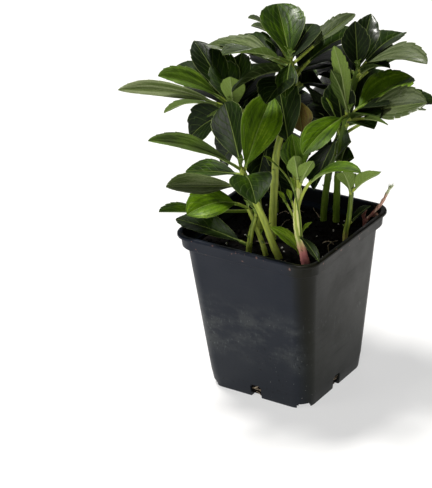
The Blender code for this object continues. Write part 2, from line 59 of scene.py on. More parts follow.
# Pot and soil, as in the solids; a slot's size is its width, height and depth
POT_HEIGHT = 96.5
LIP_WIDTH = 90
LIP_HEIGHT = 1.8
BAND_WIDTH = 87.2
BAND_HEIGHT = 8
WALL_TOP_WIDTH = 81
WALL_FOOT_WIDTH = 67
POT_FOOT_WIDTH = 65
FOOT_HEIGHT = 9
TOP_CORNER = 10.7
WALL_CORNER = TOP_CORNER - 1
FOOT_CORNER = 9.6
WALL = 1.3
FLOOR = 1.4
CORNER_STEPS = 16
SIDE_SLOT = (7, 8, 9)
CORNER_SLOT = (8, 3, 7)
SOIL_LEVEL = 86
SOIL_CROWN = 1.2
SOIL_REACH = 38
SOIL_RINGS = 30
SOIL_LUMPS = ((0.9, 0.09), (0.7, 0.32), (0.4, 0.9))

# What lies on the soil: how far out, how much, and the picture points of the grains and threads
# that show
LITTER_REACH = 35.5
CRUMB_COUNT = 900
CHIP_COUNT = 110
GRAIN_COUNT = 16
THREAD_COUNT = 9
FOOT_ROOT_COUNTS = (4, 7, 4, 7)
PERLITE_SEEN = ((318, 205), (341, 208), (338.5, 225.6), (321, 220))
THREADS_SEEN = (((313, 206), (321, 220)), ((361, 212), (371, 218)), ((329, 252), (338, 241)),
                ((278, 234), (294, 218)))

# Leaves, as in the solids; an outline's row is the place along the blade, the share of its half
# width and how far its edge leans forward
GAP = 0.3
STALK_RADIUS = 0.95
BLADE_THICKNESS = 0.8
FOLD = 20
TOOTHED_OUTLINE = ((0.16, 0.36, 0), (0.38, 0.78, 0), (0.58, 1, 0.02), (0.64, 0.9, 0),
                   (0.76, 0.8, 0.02), (0.81, 0.66, 0), (0.91, 0.44, 0.015), (1, 0.04, 0))
YOUNG_OUTLINE = ((0.3, 0.7, 0), (0.6, 1, 0.02), (0.7, 0.78, 0), (0.88, 0.5, 0.02), (1, 0.05, 0))
YOUNG_LENGTH = 36
ROUTE_STEPS = 8
SETTLE_STEPS = sorted(
    ((reach, turn) for reach in (0, 3, -3, 6, -6, 10, -10)
     for turn in (0, 14, -14, 28, -28, 45, -45)),
    key=lambda step: abs(step[0]) / 3 + abs(step[1]) / 14,
)

# The viewing place that the leaves' picture points belong to, in a picture 432 wide, 488 high
PICTURE_SIZE = (432, 488)
PICTURE_CENTRE = (216, 244)
VIEW_TARGET = Vector((0, 0, 60 * MM))
VIEW_DISTANCE = 1.2
VIEW_AZIMUTH = 32.5
VIEW_ELEVATION = 27
AIM_YAW, AIM_PITCH, AIM_ROLL = 2, -1, -2.5
PIXELS_PER_RADIAN = 2142
SENSOR = 36

# The fine leaf: its outline without teeth, the teeth, the columns of points across it, where the
# stalk has become the blade, its relief in millimetres, and its veins
ENVELOPE = ((0, 0), (0.06, 0.14), (0.16, 0.36), (0.27, 0.60), (0.38, 0.79), (0.48, 0.93),
            (0.58, 1), (0.67, 0.98), (0.76, 0.88), (0.84, 0.71), (0.91, 0.50), (0.96, 0.30),
            (1, 0.04))
YOUNG_ENVELOPE = ((0, 0), (0.12, 0.34), (0.30, 0.72), (0.45, 0.94), (0.58, 1), (0.70, 0.90),
                  (0.80, 0.70), (0.90, 0.42), (1, 0.04))
TOOTH_ENDS = (0.58, 0.69, 0.80, 0.905)
YOUNG_TOOTH_ENDS = (0.66, 0.82)
TOOTH_JITTER = 0.012
TOOTH_STEPS = (0.09, 0.36, 0.70, 1)
TOOTH_DEPTH = 0.11
TOOTH_LEAN = 0.012
ROWS_BELOW_TEETH = 14
STALK_ROWS = 7
ACROSS = 8
COLUMNS = [math.copysign(abs(k / ACROSS) ** 1.45, k) for k in range(-ACROSS, ACROSS + 1)]
AROUND = [(v, False) for v in COLUMNS] + [(v, True) for v in COLUMNS[-2:0:-1]]
BLADE_START = 0.13
FINE_HALF_THICKNESS = 0.20
QUILT_HEIGHT = 0.10
RIB_GROOVE = 0.28
RIB_GROOVE_WIDTH = 0.7
VEIN_COUNT = 6.5
VEIN_SLOPE = 0.38
VEIN_STAGGER = 0.35

# Stems: rows and sides of the skin, and the places of old scars and small scale leaves
STEM_ROWS = 64
STEM_SIDES = 24
STUB_ROWS = 40
SCARS = (0.25, 0.38, 0.52, 0.66)
SCALES = (0.30, 0.43, 0.56)
SPLINTER_COUNT = 9

# The lamps: kind, place, power, colour, and a sun's angle in degrees or a lamp's width in metres
LAMP_AIM = Vector((0, 0, 0.1))
LAMPS = {
    "overhead": ("SUN", (-0.5, 0.1, 1.6), 4, (1, 0.98, 0.94), 12),
    "front_left": ("AREA", (-0.9, -1.3, 0.9), 6, (1, 0.98, 0.95), 1),
    "right": ("AREA", (1.5, 0.3, 0.8), 1.3, (1, 0.96, 0.9), 1),
    "low_front": ("AREA", (0.3, -1.3, 0.3), 6.5, (1, 0.98, 0.93), 0.7),
    "backdrop": ("AREA", (-1.3, 1.9, 1.2), 5, (1, 1, 1), 2),
}
FILL_LIGHT = 0.05
FLOOR_GLOW = 0.57
FLOOR_REACH = 4


def seen(at, tip, reach, width, face=0, arch=0.08, stalk=0.2, tone=0.25, dry=0, shine=0.3,
         teeth=0.8, young=False):
    """A leaf with its tip at a picture point. at is its place along the stem, reach its length,
    below zero where it leans away from the viewer, face its turn to the viewer in degrees, stalk
    the stalk's share of it, tone its brightness (partly its own age, partly painted light and
    shade), dry its browning (or, below zero, its paling: partly an olive-grey of its own, partly
    a painted sheen with painted highlight stripes), shine how glossy it is and teeth how deeply
    it is toothed."""
    return {"at": at, "tip": tip, "reach": reach, "width": width, "face": face, "arch": arch,
            "stalk": stalk, "tone": tone, "dry": dry, "shine": shine, "teeth": teeth,
            "young": young}


def small(*row, **looks):
    """A leaf with its tip at a picture point, and the young leaves' outline."""
    return seen(*row, **looks, young=True)


def hidden(at, heading, lift, reach, width, arch=0.1, stalk=0.22, tone=0.3):
    """A leaf on the far side, by compass heading and lift above level in degrees."""
    leaf = seen(at, None, reach, width, 0, arch, stalk, tone, 0, 0.1, 0.9)
    return {**leaf, "heading": heading, "lift": lift}


def far(*rows):
    """Several leaves on the far side."""
    return [hidden(*row) for row in rows]


def shoot(route, radii, stem, *leaves):
    """A stem's route, its radii at foot and top, how green (1) or yellow (0) it is and how pink
    at the foot, and its leaves. The full green of 1 on the back shoots is partly painted shade."""
    return {"route": route, "radii": radii, "stem": stem, "leaves": leaves}


# Leaf tones are partly the leaves' own age and partly painted light and shade: tones below 0.1
# darken the leaves that fill the plant's inside as painted deep shade
SHOOTS = {
    "dry_stem": shoot(
        ((33, 33, 76), (33, 33, 88), (41, 37, 100), (44, 43, 109)), (1.1, 0.8), (0, 0),
        small(0.3, (369, 206), 12, 5, -20, 0.1, 0.2, 0.1, dry=1),
        small(0.42, (379, 216), 9, 4, 20, 0.2, 0.2, 0.1, dry=1),
    ),
    "shoot_front_left": shoot(
        ((14, -26, 76), (14, -26, 86), (10, -26, 95), (5, -27, 110), (-1, -30, 127),
         (-5, -32, 140)), (2.2, 1.6), (0.35, 0),
        seen(1, (225, 103), -44, 22, 35, 0.04, 0.08, 0.12, shine=0.15, teeth=0.4),
        seen(0.94, (272, 96), -48, 24, 30, 0.04, 0.08, 0.75, shine=0.1, teeth=0.25),
        seen(0.97, (148, 141), 57, 16, 18, 0.07, 0.1, 0.58, dry=-0.3, shine=0.4, teeth=0.4),
        seen(0.93, (186, 171), -36, 16, 20, 0.02, 0.12, 0.42, teeth=0.3),
        seen(0.84, (166, 187), 48, 17, 22, -0.01, 0.15, 0.4, dry=-0.6, shine=0.7, teeth=0.3),
        seen(0.92, (256, 204), 32, 25, 0, 0.14, 0.08, 0.36, teeth=0.2),
    ),
    "shoot_corner": shoot(
        ((29, -24, 76), (29, -24, 87), (24, -22, 103), (22, -20, 114), (21, -16, 128)),
        (2.5, 1.5), (-0.15, 1),
        seen(0.72, (361, 173), 50, 15, 5, 0.22, 0.42, 0.62, teeth=0.3),
        seen(0.85, (277, 75), -75, 30, 20, 0.03, 0.44, 0.2),
        seen(0.98, (292, 134), 30, 17, 30, 0.05, 0.3, 0.6),
        small(0.95, (313, 161), 22, 10, -40, 0.05, 0.3, 0.8),
        small(0.97, (294, 156), 24, 10, -40, 0.05, 0.3, 0.78),
        small(0.5, (319, 262), 26, 6, 0, 0.06, 0.1, 0.15),
        small(0.22, (270, 227), 24, 9, 20, 0.1, 0.2, 0.95),
        small(0.5, (312, 222), 9, 4, 0, 0.05, 0.2, 1),
        small(0.58, (278, 191), 22, 4, 0, 0.06, 0.7, 1.1),
        small(0.62, (287, 189), 19, 4, 0, 0.06, 0.7, 1.1),
        small(0.84, (264, 156), 30, 3, 0, 0.14, 0.8, 1),
        small(0.4, (290, 177), 40, 4, 0, 0.05, 0.8, 1),
    ),
    "shoot_low_left": shoot(
        ((-4, -29, 76), (-4, -29, 88), (-3, -27, 100), (-1, -25, 109)), (1.8, 1.4), (0.5, 0),
        seen(0.48, (176, 219), -47, 18, 45, 0.03, 0.12, 0.25),
        small(1, (259, 193), 18, 9, 0, 0.1, 0.2, 0.45),
    ),
    "shoot_low_front": shoot(
        ((5, -26, 76), (5, -26, 88), (-4, -21, 101), (-8, -22, 111)), (1.7, 1.2), (0.35, 0),
        seen(1, (187, 215), 38, 22, 35, 0.14, 0.22, 0.76, teeth=0.3),
    ),
    "shoot_crown": shoot(
        ((-2, -8, 76), (-2, -8, 90), (-2, -4, 120), (-2, 1, 141), (2, 13, 168), (-2, 15, 186)),
        (2.4, 1.6), (0.45, 0),
        seen(1, (277, 4), -38, 27, 0, 0.04, 0.04, 0.5, shine=0.42, teeth=0.3),
        seen(0.99, (313, 24), -34, 24, 0, 0.05, 0.06, 0.25, shine=0.2, teeth=0.6),
        seen(0.98, (223, 55), 58, 20, -8, 0.06, tone=0.46, dry=-0.3, shine=0.8),
        seen(0.96, (208, 45), -62, 24, 5, 0.04, tone=0.42, dry=-0.6, shine=0.8),
        seen(0.99, (248, 18), -54, 7, -60, 0.12, tone=0.3),
        seen(0.97, (251, 26), -56, 6, -70, 0.12, tone=0.3),
        seen(0.97, (355, 14), -50, 15, 0, 0.02, 0.34, 0.34, dry=-0.4, shine=0.6),
        small(0.94, (232, 92), 44, 22, -40, 0.1, 0.2, 0.15),
        small(0.92, (258, 74), -44, 24, 30, 0.1, 0.2, 0.14, shine=0.75),
        small(0.9, (322, 66), -44, 24, 20, 0.1, 0.15, 0.08),
        small(0.88, (314, 103), -40, 28, 45, 0.1, 0.15, 0.08),
        small(0.84, (302, 132), 30, 15, 20, 0.05, 0.2, 0.55, dry=0.6),
        *far((0.95, 130, 2, 42, 24), (0.91, 80, 8, 58, 28), (0.9, 165, 5, 58, 28)),
        small(0.86, (324, 86), -40, 24, 35, 0.06, 0.2, 0.08),
        small(0.93, (266, 104), 32, 22, 0, 0.06, 0.12, 0.1),
        small(0.93, (336, 48), -50, 26, 20, 0.05, 0.12, 0.08),
        small(0.9, (256, 54), -48, 24, 10, 0.05, 0.1, 0.08),
        small(0.99, (285, 98), 25, 13, 0, 0.06, 0.1, 0.38),
    ),
    "shoot_back_left": shoot(
        ((-16, 2, 76), (-16, 2, 90), (-20, 4, 112), (-27, 6, 132), (-35, 6, 155)),
        (2.2, 1.6), (0.6, 0),
        seen(1, (158, 76), 48, 19, 24, 0.08, tone=0.66, dry=-0.2, shine=0.5),
        seen(0.98, (118, 90), 66, 12.5, 26, 0.06, 0.15, 0.66, dry=-1, shine=0.5, teeth=0.2),
        seen(0.96, (164, 113), -56, 8, -30, 0.11, tone=0.5),
        seen(0.95, (190, 138), -33, 26, 45, 0.09, 0.12, 0.12, teeth=1.2),
        small(1, (194, 41), -50, 20, 10, 0.04, 0.15, 0.12, shine=0.6),
        small(0.99, (208, 50), -44, 23, 10, 0.06, 0.1, 0.15, shine=0.8),
        seen(0.97, (178, 65), -48, 20, 0, 0.08, tone=0.4),
        small(1, (219, 60), -32, 20, 10, 0.05, 0.1, 0.3),
        small(0.98, (242, 53), -36, 22, 10, 0.05, 0.1, 0.35),
        small(0.93, (207, 117), 24, 9, -30, 0.1, 0.3, 0.6),
        small(0.97, (268, 66), -36, 26, 10, 0.05, 0.1, 0.08),
        small(0.96, (230, 77), 23, 15, 0, 0.05, 0.12, 0.9, dry=-0.8),
        seen(0.26, (159, 212), 60, 16, 0, 0, 0.45, 0.45),
        *far((0.9, 150, 0, 56, 26), (0.86, 110, 8, 52, 26), (0.92, 60, 12, 35, 24)),
        small(0.76, (221, 163), -27, 32, 60, 0.05, 0.1, 0.1),
    ),
    "shoot_right": shoot(
        ((17, 29, 76), (17, 29, 90), (21, 24, 110), (23, 22, 122), (27, 21, 145), (30, 23, 158)),
        # stem green of 1: partly painted shade on this shoot at the back
        (2.1, 1.6), (1, 0),
        seen(0.98, (303, 155), 44, 17, 20, 0.08, 0.12, 0.64, shine=0.2, teeth=0.2),
        seen(0.95, (334, 46), 46, 10, -35, 0.04, 0.12, 0.75, teeth=1.2),
        seen(0.97, (331, 70), 32, 9, -70, 0.05, 0.1, 0.3, dry=-0.6, teeth=1.2),
        seen(0.97, (412, 77), -50, 24, 15, 0.05, 0.15, 0.82),
        seen(0.95, (427, 103), 52, 23, 35, 0.03, 0.25, 0.22, dry=-0.45, shine=0.7, teeth=0.9),
        small(0.93, (380, 117), 30, 18, 0, 0.1, 0.2, 0.35),
        small(0.94, (390, 105), 32, 20, 0, 0.05, 0.12, 0.12),
        small(0.9, (374, 129), 28, 20, 0, 0.1, 0.2, 0.2),
        small(0.92, (388, 125), 34, 8, -40, 0.1, 0.5, 0.45),
        small(0.6, (351, 142), 30, 20, 60, 0.08, 0.2, 0.3),
        small(0.5, (354, 158), 28, 18, 50, 0.1, 0.2, 0.24),
        small(0.8, (318, 98), -44, 24, 30, 0.05, 0.3, 0.15),
        small(0.8, (326, 98), 26, 5, 0, 0.05, 0.3, 1),
        small(0.84, (337, 96), 20, 5, 0, 0.05, 0.3, 1),
        small(0.86, (334, 80), -28, 20, 20, 0.05, 0.12, 0.08),
        *far((0.88, 90, 10, 58, 28), (0.95, 35, 7, 50, 26), (0.84, 55, 6, 50, 28)),
        small(0.66, (304, 126), -38, 24, 40, 0.06, 0.2, 0.12),
    ),
    "shoot_back_right": shoot(
        ((10, 27, 76), (10, 27, 90), (14, 25, 112), (17, 28, 130), (21, 36, 153), (27, 38, 177)),
        # stem green of 1: partly painted shade on this shoot at the back
        (2.1, 1.6), (1, 0),
        seen(1, (371, 14), -40, 17, 10, 0.04, 0.05, 0.12, shine=0.7),
        seen(0.99, (355, 21), -36, 17, 10, 0.04, 0.08, 0.1, teeth=1.2),
        seen(0.97, (403, 33), -50, 20, 0, 0.08, tone=0.3),
        seen(0.99, (427, 64), 44, 28, 5, 0.11, 0.05, 0.3, dry=-0.5, shine=0.45),
        small(0.95, (390, 68), 34, 12, 0, 0.1, 0.2, 0.2),
        *far((0.9, 130, 0, 52, 26), (0.92, 75, 5, 46, 26)),
        small(0.96, (326, 50), -42, 26, 20, 0.05, 0.12, 0.06),
        small(0.9, (324, 60), -48, 22, 20, 0.05, 0.12, 0.06),
        small(0.92, (330, 70), -34, 28, 20, 0.05, 0.12, 0.06),
        small(0.84, (318, 84), -52, 28, 20, 0.05, 0.12, 0.06),
        small(0.64, (314, 190), 30, 22, 0, 0.06, 0.15, 0.1),
    ),
    "shoot_young": shoot(
        ((33, 12, 76), (33, 12, 90), (35, 13, 101), (35, 16, 115)), (1.7, 1.3), (0.65, 0.15),
        small(1, (381, 172), 26, 14, -30, 0.04, 0.15, 0.75),
        small(0.95, (343, 172), 22, 12, 0, 0.05, 0.2, 0.65),
        small(0.5, (371, 206), -16, 8, 0, 0.05, 0.2, 0.15),
    ),
    "shoot_rear": shoot(
        # stem green of 1: partly painted shade on this shoot at the back
        ((-20, 24, 76), (-20, 24, 90), (-22, 27, 115), (-24, 30, 140)), (2.1, 1.6), (1, 0),
        small(1, (262, 78), -34, 24, 0, 0.05, 0.1, 0.08),
        small(0.98, (306, 92), -38, 28, 0, 0.05, 0.1, 0.08),
        *far((1, 84, 24, 44, 24), (0.96, 112, 10, 54, 26), (0.92, 150, 2, 46, 26),
             (0.8, 330, -2, 34, 24), (0.72, 88, -10, 35, 24), (0.6, 140, -12, 35, 22)),
        small(0.95, (256, 186), 40, 24, 0, 0.06, 0.15, 0.1),
        small(0.9, (291, 184), 38, 24, 0, 0.06, 0.15, 0.1),
        small(0.62, (283, 203), 26, 20, 0, 0.06, 0.15, 0.08),
    ),
}


# Where things are: the solids' own routes, sight lines and leaf frames


def smooth_route(points, count):
    """Count points, evenly spaced along a smooth curve through the route's own points."""
    spots = [Vector(point) * MM for point in points]
    spots = [2 * spots[0] - spots[1]] + spots + [2 * spots[-1] - spots[-2]]
    fine = []
    for a, b, c, d in zip(spots, spots[1:], spots[2:], spots[3:]):
        for step in range(ROUTE_STEPS):
            t = step / ROUTE_STEPS
            fine.append(0.5 * (2 * b + (c - a) * t + (2 * a - 5 * b + 4 * c - d) * t**2
                               + (3 * b - a - 3 * c + d) * t**3))
    fine.append(spots[-2])
    run = [0]
    for a, b in zip(fine, fine[1:]):
        run.append(run[-1] + (b - a).length)
    columns = [[point[axis] for point in fine] for axis in range(3)]
    return [Vector([np.interp(s, run, column) for column in columns])
            for s in np.linspace(0, run[-1], count)]


def hundredths(row):
    """The places that leaves may stand at, one for each hundredth of the stem's length."""
    return smooth_route(row["route"], 101)


def backward(azimuth, elevation):
    """The direction towards a viewer who stands at an azimuth and elevation."""
    return Vector((math.sin(azimuth) * math.cos(elevation),
                   -math.cos(azimuth) * math.cos(elevation),
                   math.sin(elevation)))


def view_frame():
    """The viewing place and the picture's right, up and backward directions."""
    azimuth, elevation = math.radians(VIEW_AZIMUTH), math.radians(VIEW_ELEVATION)
    eye = VIEW_TARGET + VIEW_DISTANCE * backward(azimuth, elevation)
    azimuth += math.radians(AIM_YAW)
    elevation += math.radians(AIM_PITCH)
    back = backward(azimuth, elevation)
    right = Vector((math.cos(azimuth), math.sin(azimuth), 0))
    up = back.cross(right)
    roll = math.radians(AIM_ROLL)
    right, up = (math.cos(roll) * right + math.sin(roll) * up,
                 math.cos(roll) * up - math.sin(roll) * right)
    return eye, right, up, back


def sight_line(pixel):
    """The viewing place, and the direction from it through a picture point."""
    eye, right, up, back = view_frame()
    across = (pixel[0] - PICTURE_CENTRE[0]) / PIXELS_PER_RADIAN
    down = (pixel[1] - PICTURE_CENTRE[1]) / PIXELS_PER_RADIAN
    return eye, (right * across - up * down - back).normalized()


def tip_of(leaf, base, extra_reach):
    """The leaf's tip: on its picture point's sight line, or by heading and lift."""
    reach = (abs(leaf["reach"]) + extra_reach) * MM
    if "heading" in leaf:
        heading, lift = math.radians(leaf["heading"]), math.radians(leaf["lift"])
        return base + reach * Vector((math.cos(lift) * math.cos(heading),
                                      math.cos(lift) * math.sin(heading), math.sin(lift)))
    eye, along = sight_line(leaf["tip"])
    nearest = (base - eye).dot(along)
    miss = (eye + along * nearest - base).length
    depth = math.sqrt(max(reach**2 - miss**2, 0))
    return eye + along * (nearest - math.copysign(depth, leaf["reach"]))


def upper_side(chord, leaf, turn):
    """The way the blade arches, and the way its upper side faces: up and towards the stem, then
    turned to the viewer."""
    inward = Vector((-chord.x, -chord.y, 0)) / chord.length
    rib = chord.normalized()
    lean = Vector((0, 0, 1)) + 0.5 * inward
    bend = (lean - rib * lean.dot(rib)).normalized()
    viewer = backward(math.radians(VIEW_AZIMUTH), math.radians(VIEW_ELEVATION))
    sign = 1 if rib.cross(bend).dot(viewer) >= 0 else -1
    turned = Matrix.Rotation(sign * math.radians(leaf["face"] + turn), 3, rib) @ bend
    return bend, turned


def arched(leaf, base, chord, bend, normal, along):
    """A place along the arched rib, and the rib's direction and the blade's face there."""
    rise = 4 * leaf["arch"] * chord.length
    spot = base + chord * along + bend * (rise * along * (1 - along))
    tangent = (chord + bend * (rise * (1 - 2 * along))).normalized()
    return spot, tangent, (normal - tangent * normal.dot(tangent)).normalized()


def is_young(leaf, length):
    return leaf["young"] or length < YOUNG_LENGTH * MM


def leaf_sections(leaf, base, extra_reach=0, turn=0, margin=0):
    """The solid's six-point sections along the leaf."""
    chord = tip_of(leaf, base, extra_reach) - base
    bend, normal = upper_side(chord, leaf, turn)
    length = chord.length
    half_width = leaf["width"] * MM / 2
    outline = YOUNG_OUTLINE if is_young(leaf, length) else TOOTHED_OUTLINE
    stalk = min(STALK_RADIUS * MM, half_width / 3) + margin * MM
    blade = (BLADE_THICKNESS / 2 + margin) * MM
    share = leaf["stalk"]
    stations = [(0, stalk, stalk, 0, 0), (share, stalk, stalk, 0, 0)]
    for place, width, lean in outline:
        half = max(width * half_width, 0.5 * MM) + margin * MM
        stations.append((share + (1 - share) * place, half, blade, lean * length,
                         math.radians(FOLD)))
    sections = []
    for along, half, thick, lean, fold in stations:
        spot, tangent, face = arched(leaf, base, chord, bend, normal, along)
        rise = face * (half * math.sin(fold)) + tangent * lean
        spread = tangent.cross(face) * (half * math.cos(fold))
        above, below = face * thick, -face * thick
        sections.append([spot + spread + rise + above, spot + above, spot - spread + rise + above,
                         spot - spread + rise + below, spot + below, spot + spread + rise + below])
    return sections


def leaf_tree(sections):
    """The solid leaf's surface, to test room with."""
    points = [point for section in sections for point in section]
    caps = [(0, 1, 5), (1, 4, 5), (1, 2, 4), (2, 3, 4)]
    faces = list(caps)
    for row in range(len(sections) - 1):
        low, high = 6 * row, 6 * (row + 1)
        for outer, inner in ((0, 1), (2, 1), (3, 4), (5, 4), (2, 3), (0, 5)):
            faces += [(low + outer, high + outer, high + inner),
                      (low + outer, high + inner, low + inner)]
    last = 6 * (len(sections) - 1)
    faces += [(last + c, last + b, last + a) for a, b, c in caps]
    return BVHTree.FromPolygons(points, faces)


def settle(leaf, base, neighbours):
    """The shift at which the solid leaf found room."""
    for extra_reach, turn in SETTLE_STEPS:
        tree = leaf_tree(leaf_sections(leaf, base, extra_reach, turn, margin=GAP))
        if not any(tree.overlap(other) for other in neighbours):
            return extra_reach, turn
    raise ValueError(f"no room for the leaf {leaf}")


def tree_of(mesh):
    return BVHTree.FromPolygons([vertex.co.copy() for vertex in mesh.vertices],
                                [tuple(face.vertices) for face in mesh.polygons])


def add_object(name, data):
    thing = bpy.data.objects.new(name, data)
    bpy.context.scene.collection.objects.link(thing)
    return thing


def evaluated(thing):
    return thing.evaluated_get(bpy.context.evaluated_depsgraph_get())


def stem_tree(row):
    """The solid stem's surface."""
    points = smooth_route(row["route"], 4 + len(row["route"]))
    foot, top = row["radii"]
    curve = bpy.data.curves.new("route", "CURVE")
    curve.dimensions = "3D"
    curve.bevel_depth = foot * MM
    curve.bevel_resolution = 2
    curve.use_fill_caps = True
    spline = curve.splines.new("POLY")
    spline.points.add(len(points) - 1)
    for k, point in enumerate(points):
        spline.points[k].co = (*point, 1)
        spline.points[k].radius = 1 + (top / foot - 1) * k / (len(points) - 1)
    drawn = add_object("route", curve)
    tree = tree_of(evaluated(drawn).to_mesh())
    bpy.data.objects.remove(drawn, do_unlink=True)
    bpy.data.curves.remove(curve)
    return tree


# Materials


class Wire:
    """A node's output, and the nodes that may follow it."""

    def __init__(self, graph, socket):
        self.graph, self.socket = graph, socket

    def math(self, operation, other=0):
        return self.graph.add("ShaderNodeMath", self, other, operation=operation)

    def __add__(self, other):
        return self.math("ADD", other)

    def __sub__(self, other):
        return self.math("SUBTRACT", other)

    def __mul__(self, other):
        return self.math("MULTIPLY", other)

    def __truediv__(self, other):
        return self.math("DIVIDE", other)

    def vary(self, mask, amount):
        """The value, moved up and down by a noise."""
        return self + (mask - 0.5) * amount

    def step(self, low, high, start=0, end=1):
        """Eases from start to end as the value passes from low to high."""
        return self.graph.add("ShaderNodeMapRange", self, low, high, start, end,
                              interpolation_type="SMOOTHSTEP")

    def mix(self, a, b):
        """Colour a where the value is 0, and colour b where it is 1."""
        return self.graph.add("ShaderNodeMix", self, *[None] * 5, a, b, out=2, data_type="RGBA")


class Graph:
    """A Principled material and the nodes that feed it."""

    def __init__(self, name):
        self.material = bpy.data.materials.new(name)
        self.material.use_nodes = True
        self.tree = self.material.node_tree
        self.shader = self.tree.nodes["Principled BSDF"]

    def feed(self, socket, value):
        if isinstance(value, Wire):
            self.tree.links.new(value.socket, socket)
        elif value is not None:
            socket.default_value = (*value, 1) if socket.type == "RGBA" else value

    def node(self, kind, *values, **settings):
        """A new node's outputs."""
        made = self.tree.nodes.new(kind)
        for key, value in settings.items():
            setattr(made, key, value)
        for socket, value in zip(made.inputs, values):
            self.feed(socket, value)
        return made.outputs

    def add(self, kind, *values, out=0, **settings):
        return Wire(self, self.node(kind, *values, **settings)[out])

    def place(self):
        return self.add("ShaderNodeTexCoord", out="Object")

    def noise(self, scale, detail, where=None, roughness=0.55):
        return self.add("ShaderNodeTexNoise", where or self.place(), None, scale, detail,
                        roughness)

    def grain(self, scales, detail, roughness=0.55):
        """Noise with a scale of its own along each axis."""
        where = self.add("ShaderNodeMapping", self.place(), None, None, scales)
        return self.noise(1, detail, where, roughness)

    def split(self, vector):
        outputs = self.node("ShaderNodeSeparateXYZ", vector)
        return [Wire(self, socket) for socket in outputs[:3]]

    def attribute(self, name):
        """The three numbers of a mesh attribute."""
        return self.split(self.add("ShaderNodeAttribute", out="Vector", attribute_name=name))

    def set(self, name, value):
        self.feed(self.shader.inputs[name], value)

    def finish(self, colour, roughness, specular=0.5):
        self.set("Base Color", colour)
        self.set("Roughness", roughness)
        self.set("Specular IOR Level", specular)
        return self.material

    def bump(self, height, strength, distance):
        made = self.tree.nodes.new("ShaderNodeBump")
        for name, value in (("Height", height), ("Strength", strength), ("Distance", distance)):
            self.feed(made.inputs[name], value)
        self.set("Normal", Wire(self, made.outputs[0]))


def layers(ground, *coats):
    """Lays colours over the ground, each by its own mask."""
    for mask, colour in coats:
        ground = mask.mix(ground, colour)
    return ground


def blade_masks(graph, rib_width, vein_width):
    """The leaf's tone and tint, masks of its midrib and of its side veins, and its streaks."""
    place, across, _ = graph.attribute("leaf_place")
    tone, tint, half = graph.attribute("leaf_look")
    out = across.math("ABSOLUTE")
    lengthwise = graph.add("ShaderNodeCombineXYZ", place * 1.6, across * 7, tone * 40)
    streak = graph.noise(1, 3, lengthwise)
    width = place.step(0, 1, rib_width, rib_width * 0.35)
    rib = (out * half / width).step(0.5, 1.1, 1, 0)
    stagger = across.math("LESS_THAN", 0) * VEIN_STAGGER
    phase = (place - out * VEIN_SLOPE) * VEIN_COUNT + stagger
    away = phase.vary(graph.noise(160, 1), 0.35).math("PINGPONG", 0.5)
    inner = out.step(0.78, 0.95, 1, 0) * place.step(0.1, 0.25)
    return tone, tint, rib, away.step(0, vein_width, 1, 0) * inner, streak


def leaf_upper():
    graph = Graph("leaf_upper")
    tone, tint, rib, vein, streak = blade_masks(graph, 0.50, 0.10)
    _, across, shine = graph.attribute("leaf_place")
    patch = graph.noise(70, 4)
    cells = graph.noise(1100, 3)
    level = tone.vary(patch, 0.85).vary(streak, 0.9)
    # painted highlight stripes: pale lengthwise lines that stand for highlights on the ridges
    highlight_stripes = streak.step(0.38, 0.60).mix((0.086, 0.120, 0.034), (0.22, 0.26, 0.125))
    colour = layers(
        (0.002, 0.006, 0.0005),
        (level.step(0, 0.45), (0.011, 0.028, 0.0005)),
        (level.step(0.35, 0.9), (0.086, 0.170, 0.003)),
        (level.step(0.8, 1.1), (0.27, 0.40, 0.03)),
        (tint.step(0.2, 1), (0.20, 0.075, 0.035)),
        # below zero the leaf pales: partly an olive-grey of its own, partly a painted sheen with
        # the painted highlight stripes
        (tint.step(0, -1), highlight_stripes),
        (cells.step(0.35, 0.75, 0, 0.3), (0.015, 0.03, 0.005)),
        (vein * 0.16, (0.14, 0.20, 0.04)),
        (rib * 0.55, (0.24, 0.32, 0.08)),
        # pale rim along the margin: partly the leaf's own pale edge, partly a painted rim
        # highlight
        (across.math("ABSOLUTE").step(0.955, 1) * 0.55, (0.30, 0.37, 0.13)),
    )
    polish = shine.vary(patch, 1.1)
    graph.set("Coat Weight", polish.step(0.30, 1.1, 0, 0.55))
    graph.set("Coat Roughness", 0.2)
    graph.bump(cells * 0.16 + streak * 1.2 - (rib * 0.8 + vein * 0.5), 0.6, 0.0004)
    return graph.finish(colour, polish.step(0, 1.1, 0.52, 0.24), 0.11)


def leaf_under():
    graph = Graph("leaf_under")
    tone, tint, rib, vein, streak = blade_masks(graph, 0.8, 0.12)
    patch = graph.noise(120, 4)
    cells = graph.noise(1300, 2)
    level = tone.vary(patch, 0.3).vary(streak, 0.3)
    colour = layers(
        (0.006, 0.012, 0.002),
        (level.step(0, 0.4), (0.070, 0.115, 0.02)),
        (level.step(0.3, 0.9), (0.20, 0.29, 0.06)),
        (tint.step(0.2, 1), (0.24, 0.10, 0.05)),
        (cells.step(0.4, 0.7, 0, 0.3), (0.05, 0.08, 0.03)),
        (vein * 0.35, (0.26, 0.34, 0.13)),
        (rib * 0.7, (0.34, 0.42, 0.16)),
        # painted shade: the leaves of lowest tone get a near-black underside
        (level.step(0, 0.45, 0.85, 0), (0.004, 0.007, 0.001)),
    )
    graph.bump(cells * 0.25 + (rib + vein * 0.7), 0.5, 0.0004)
    return graph.finish(colour, patch.step(0.3, 0.7, 0.48, 0.62), 0.07)


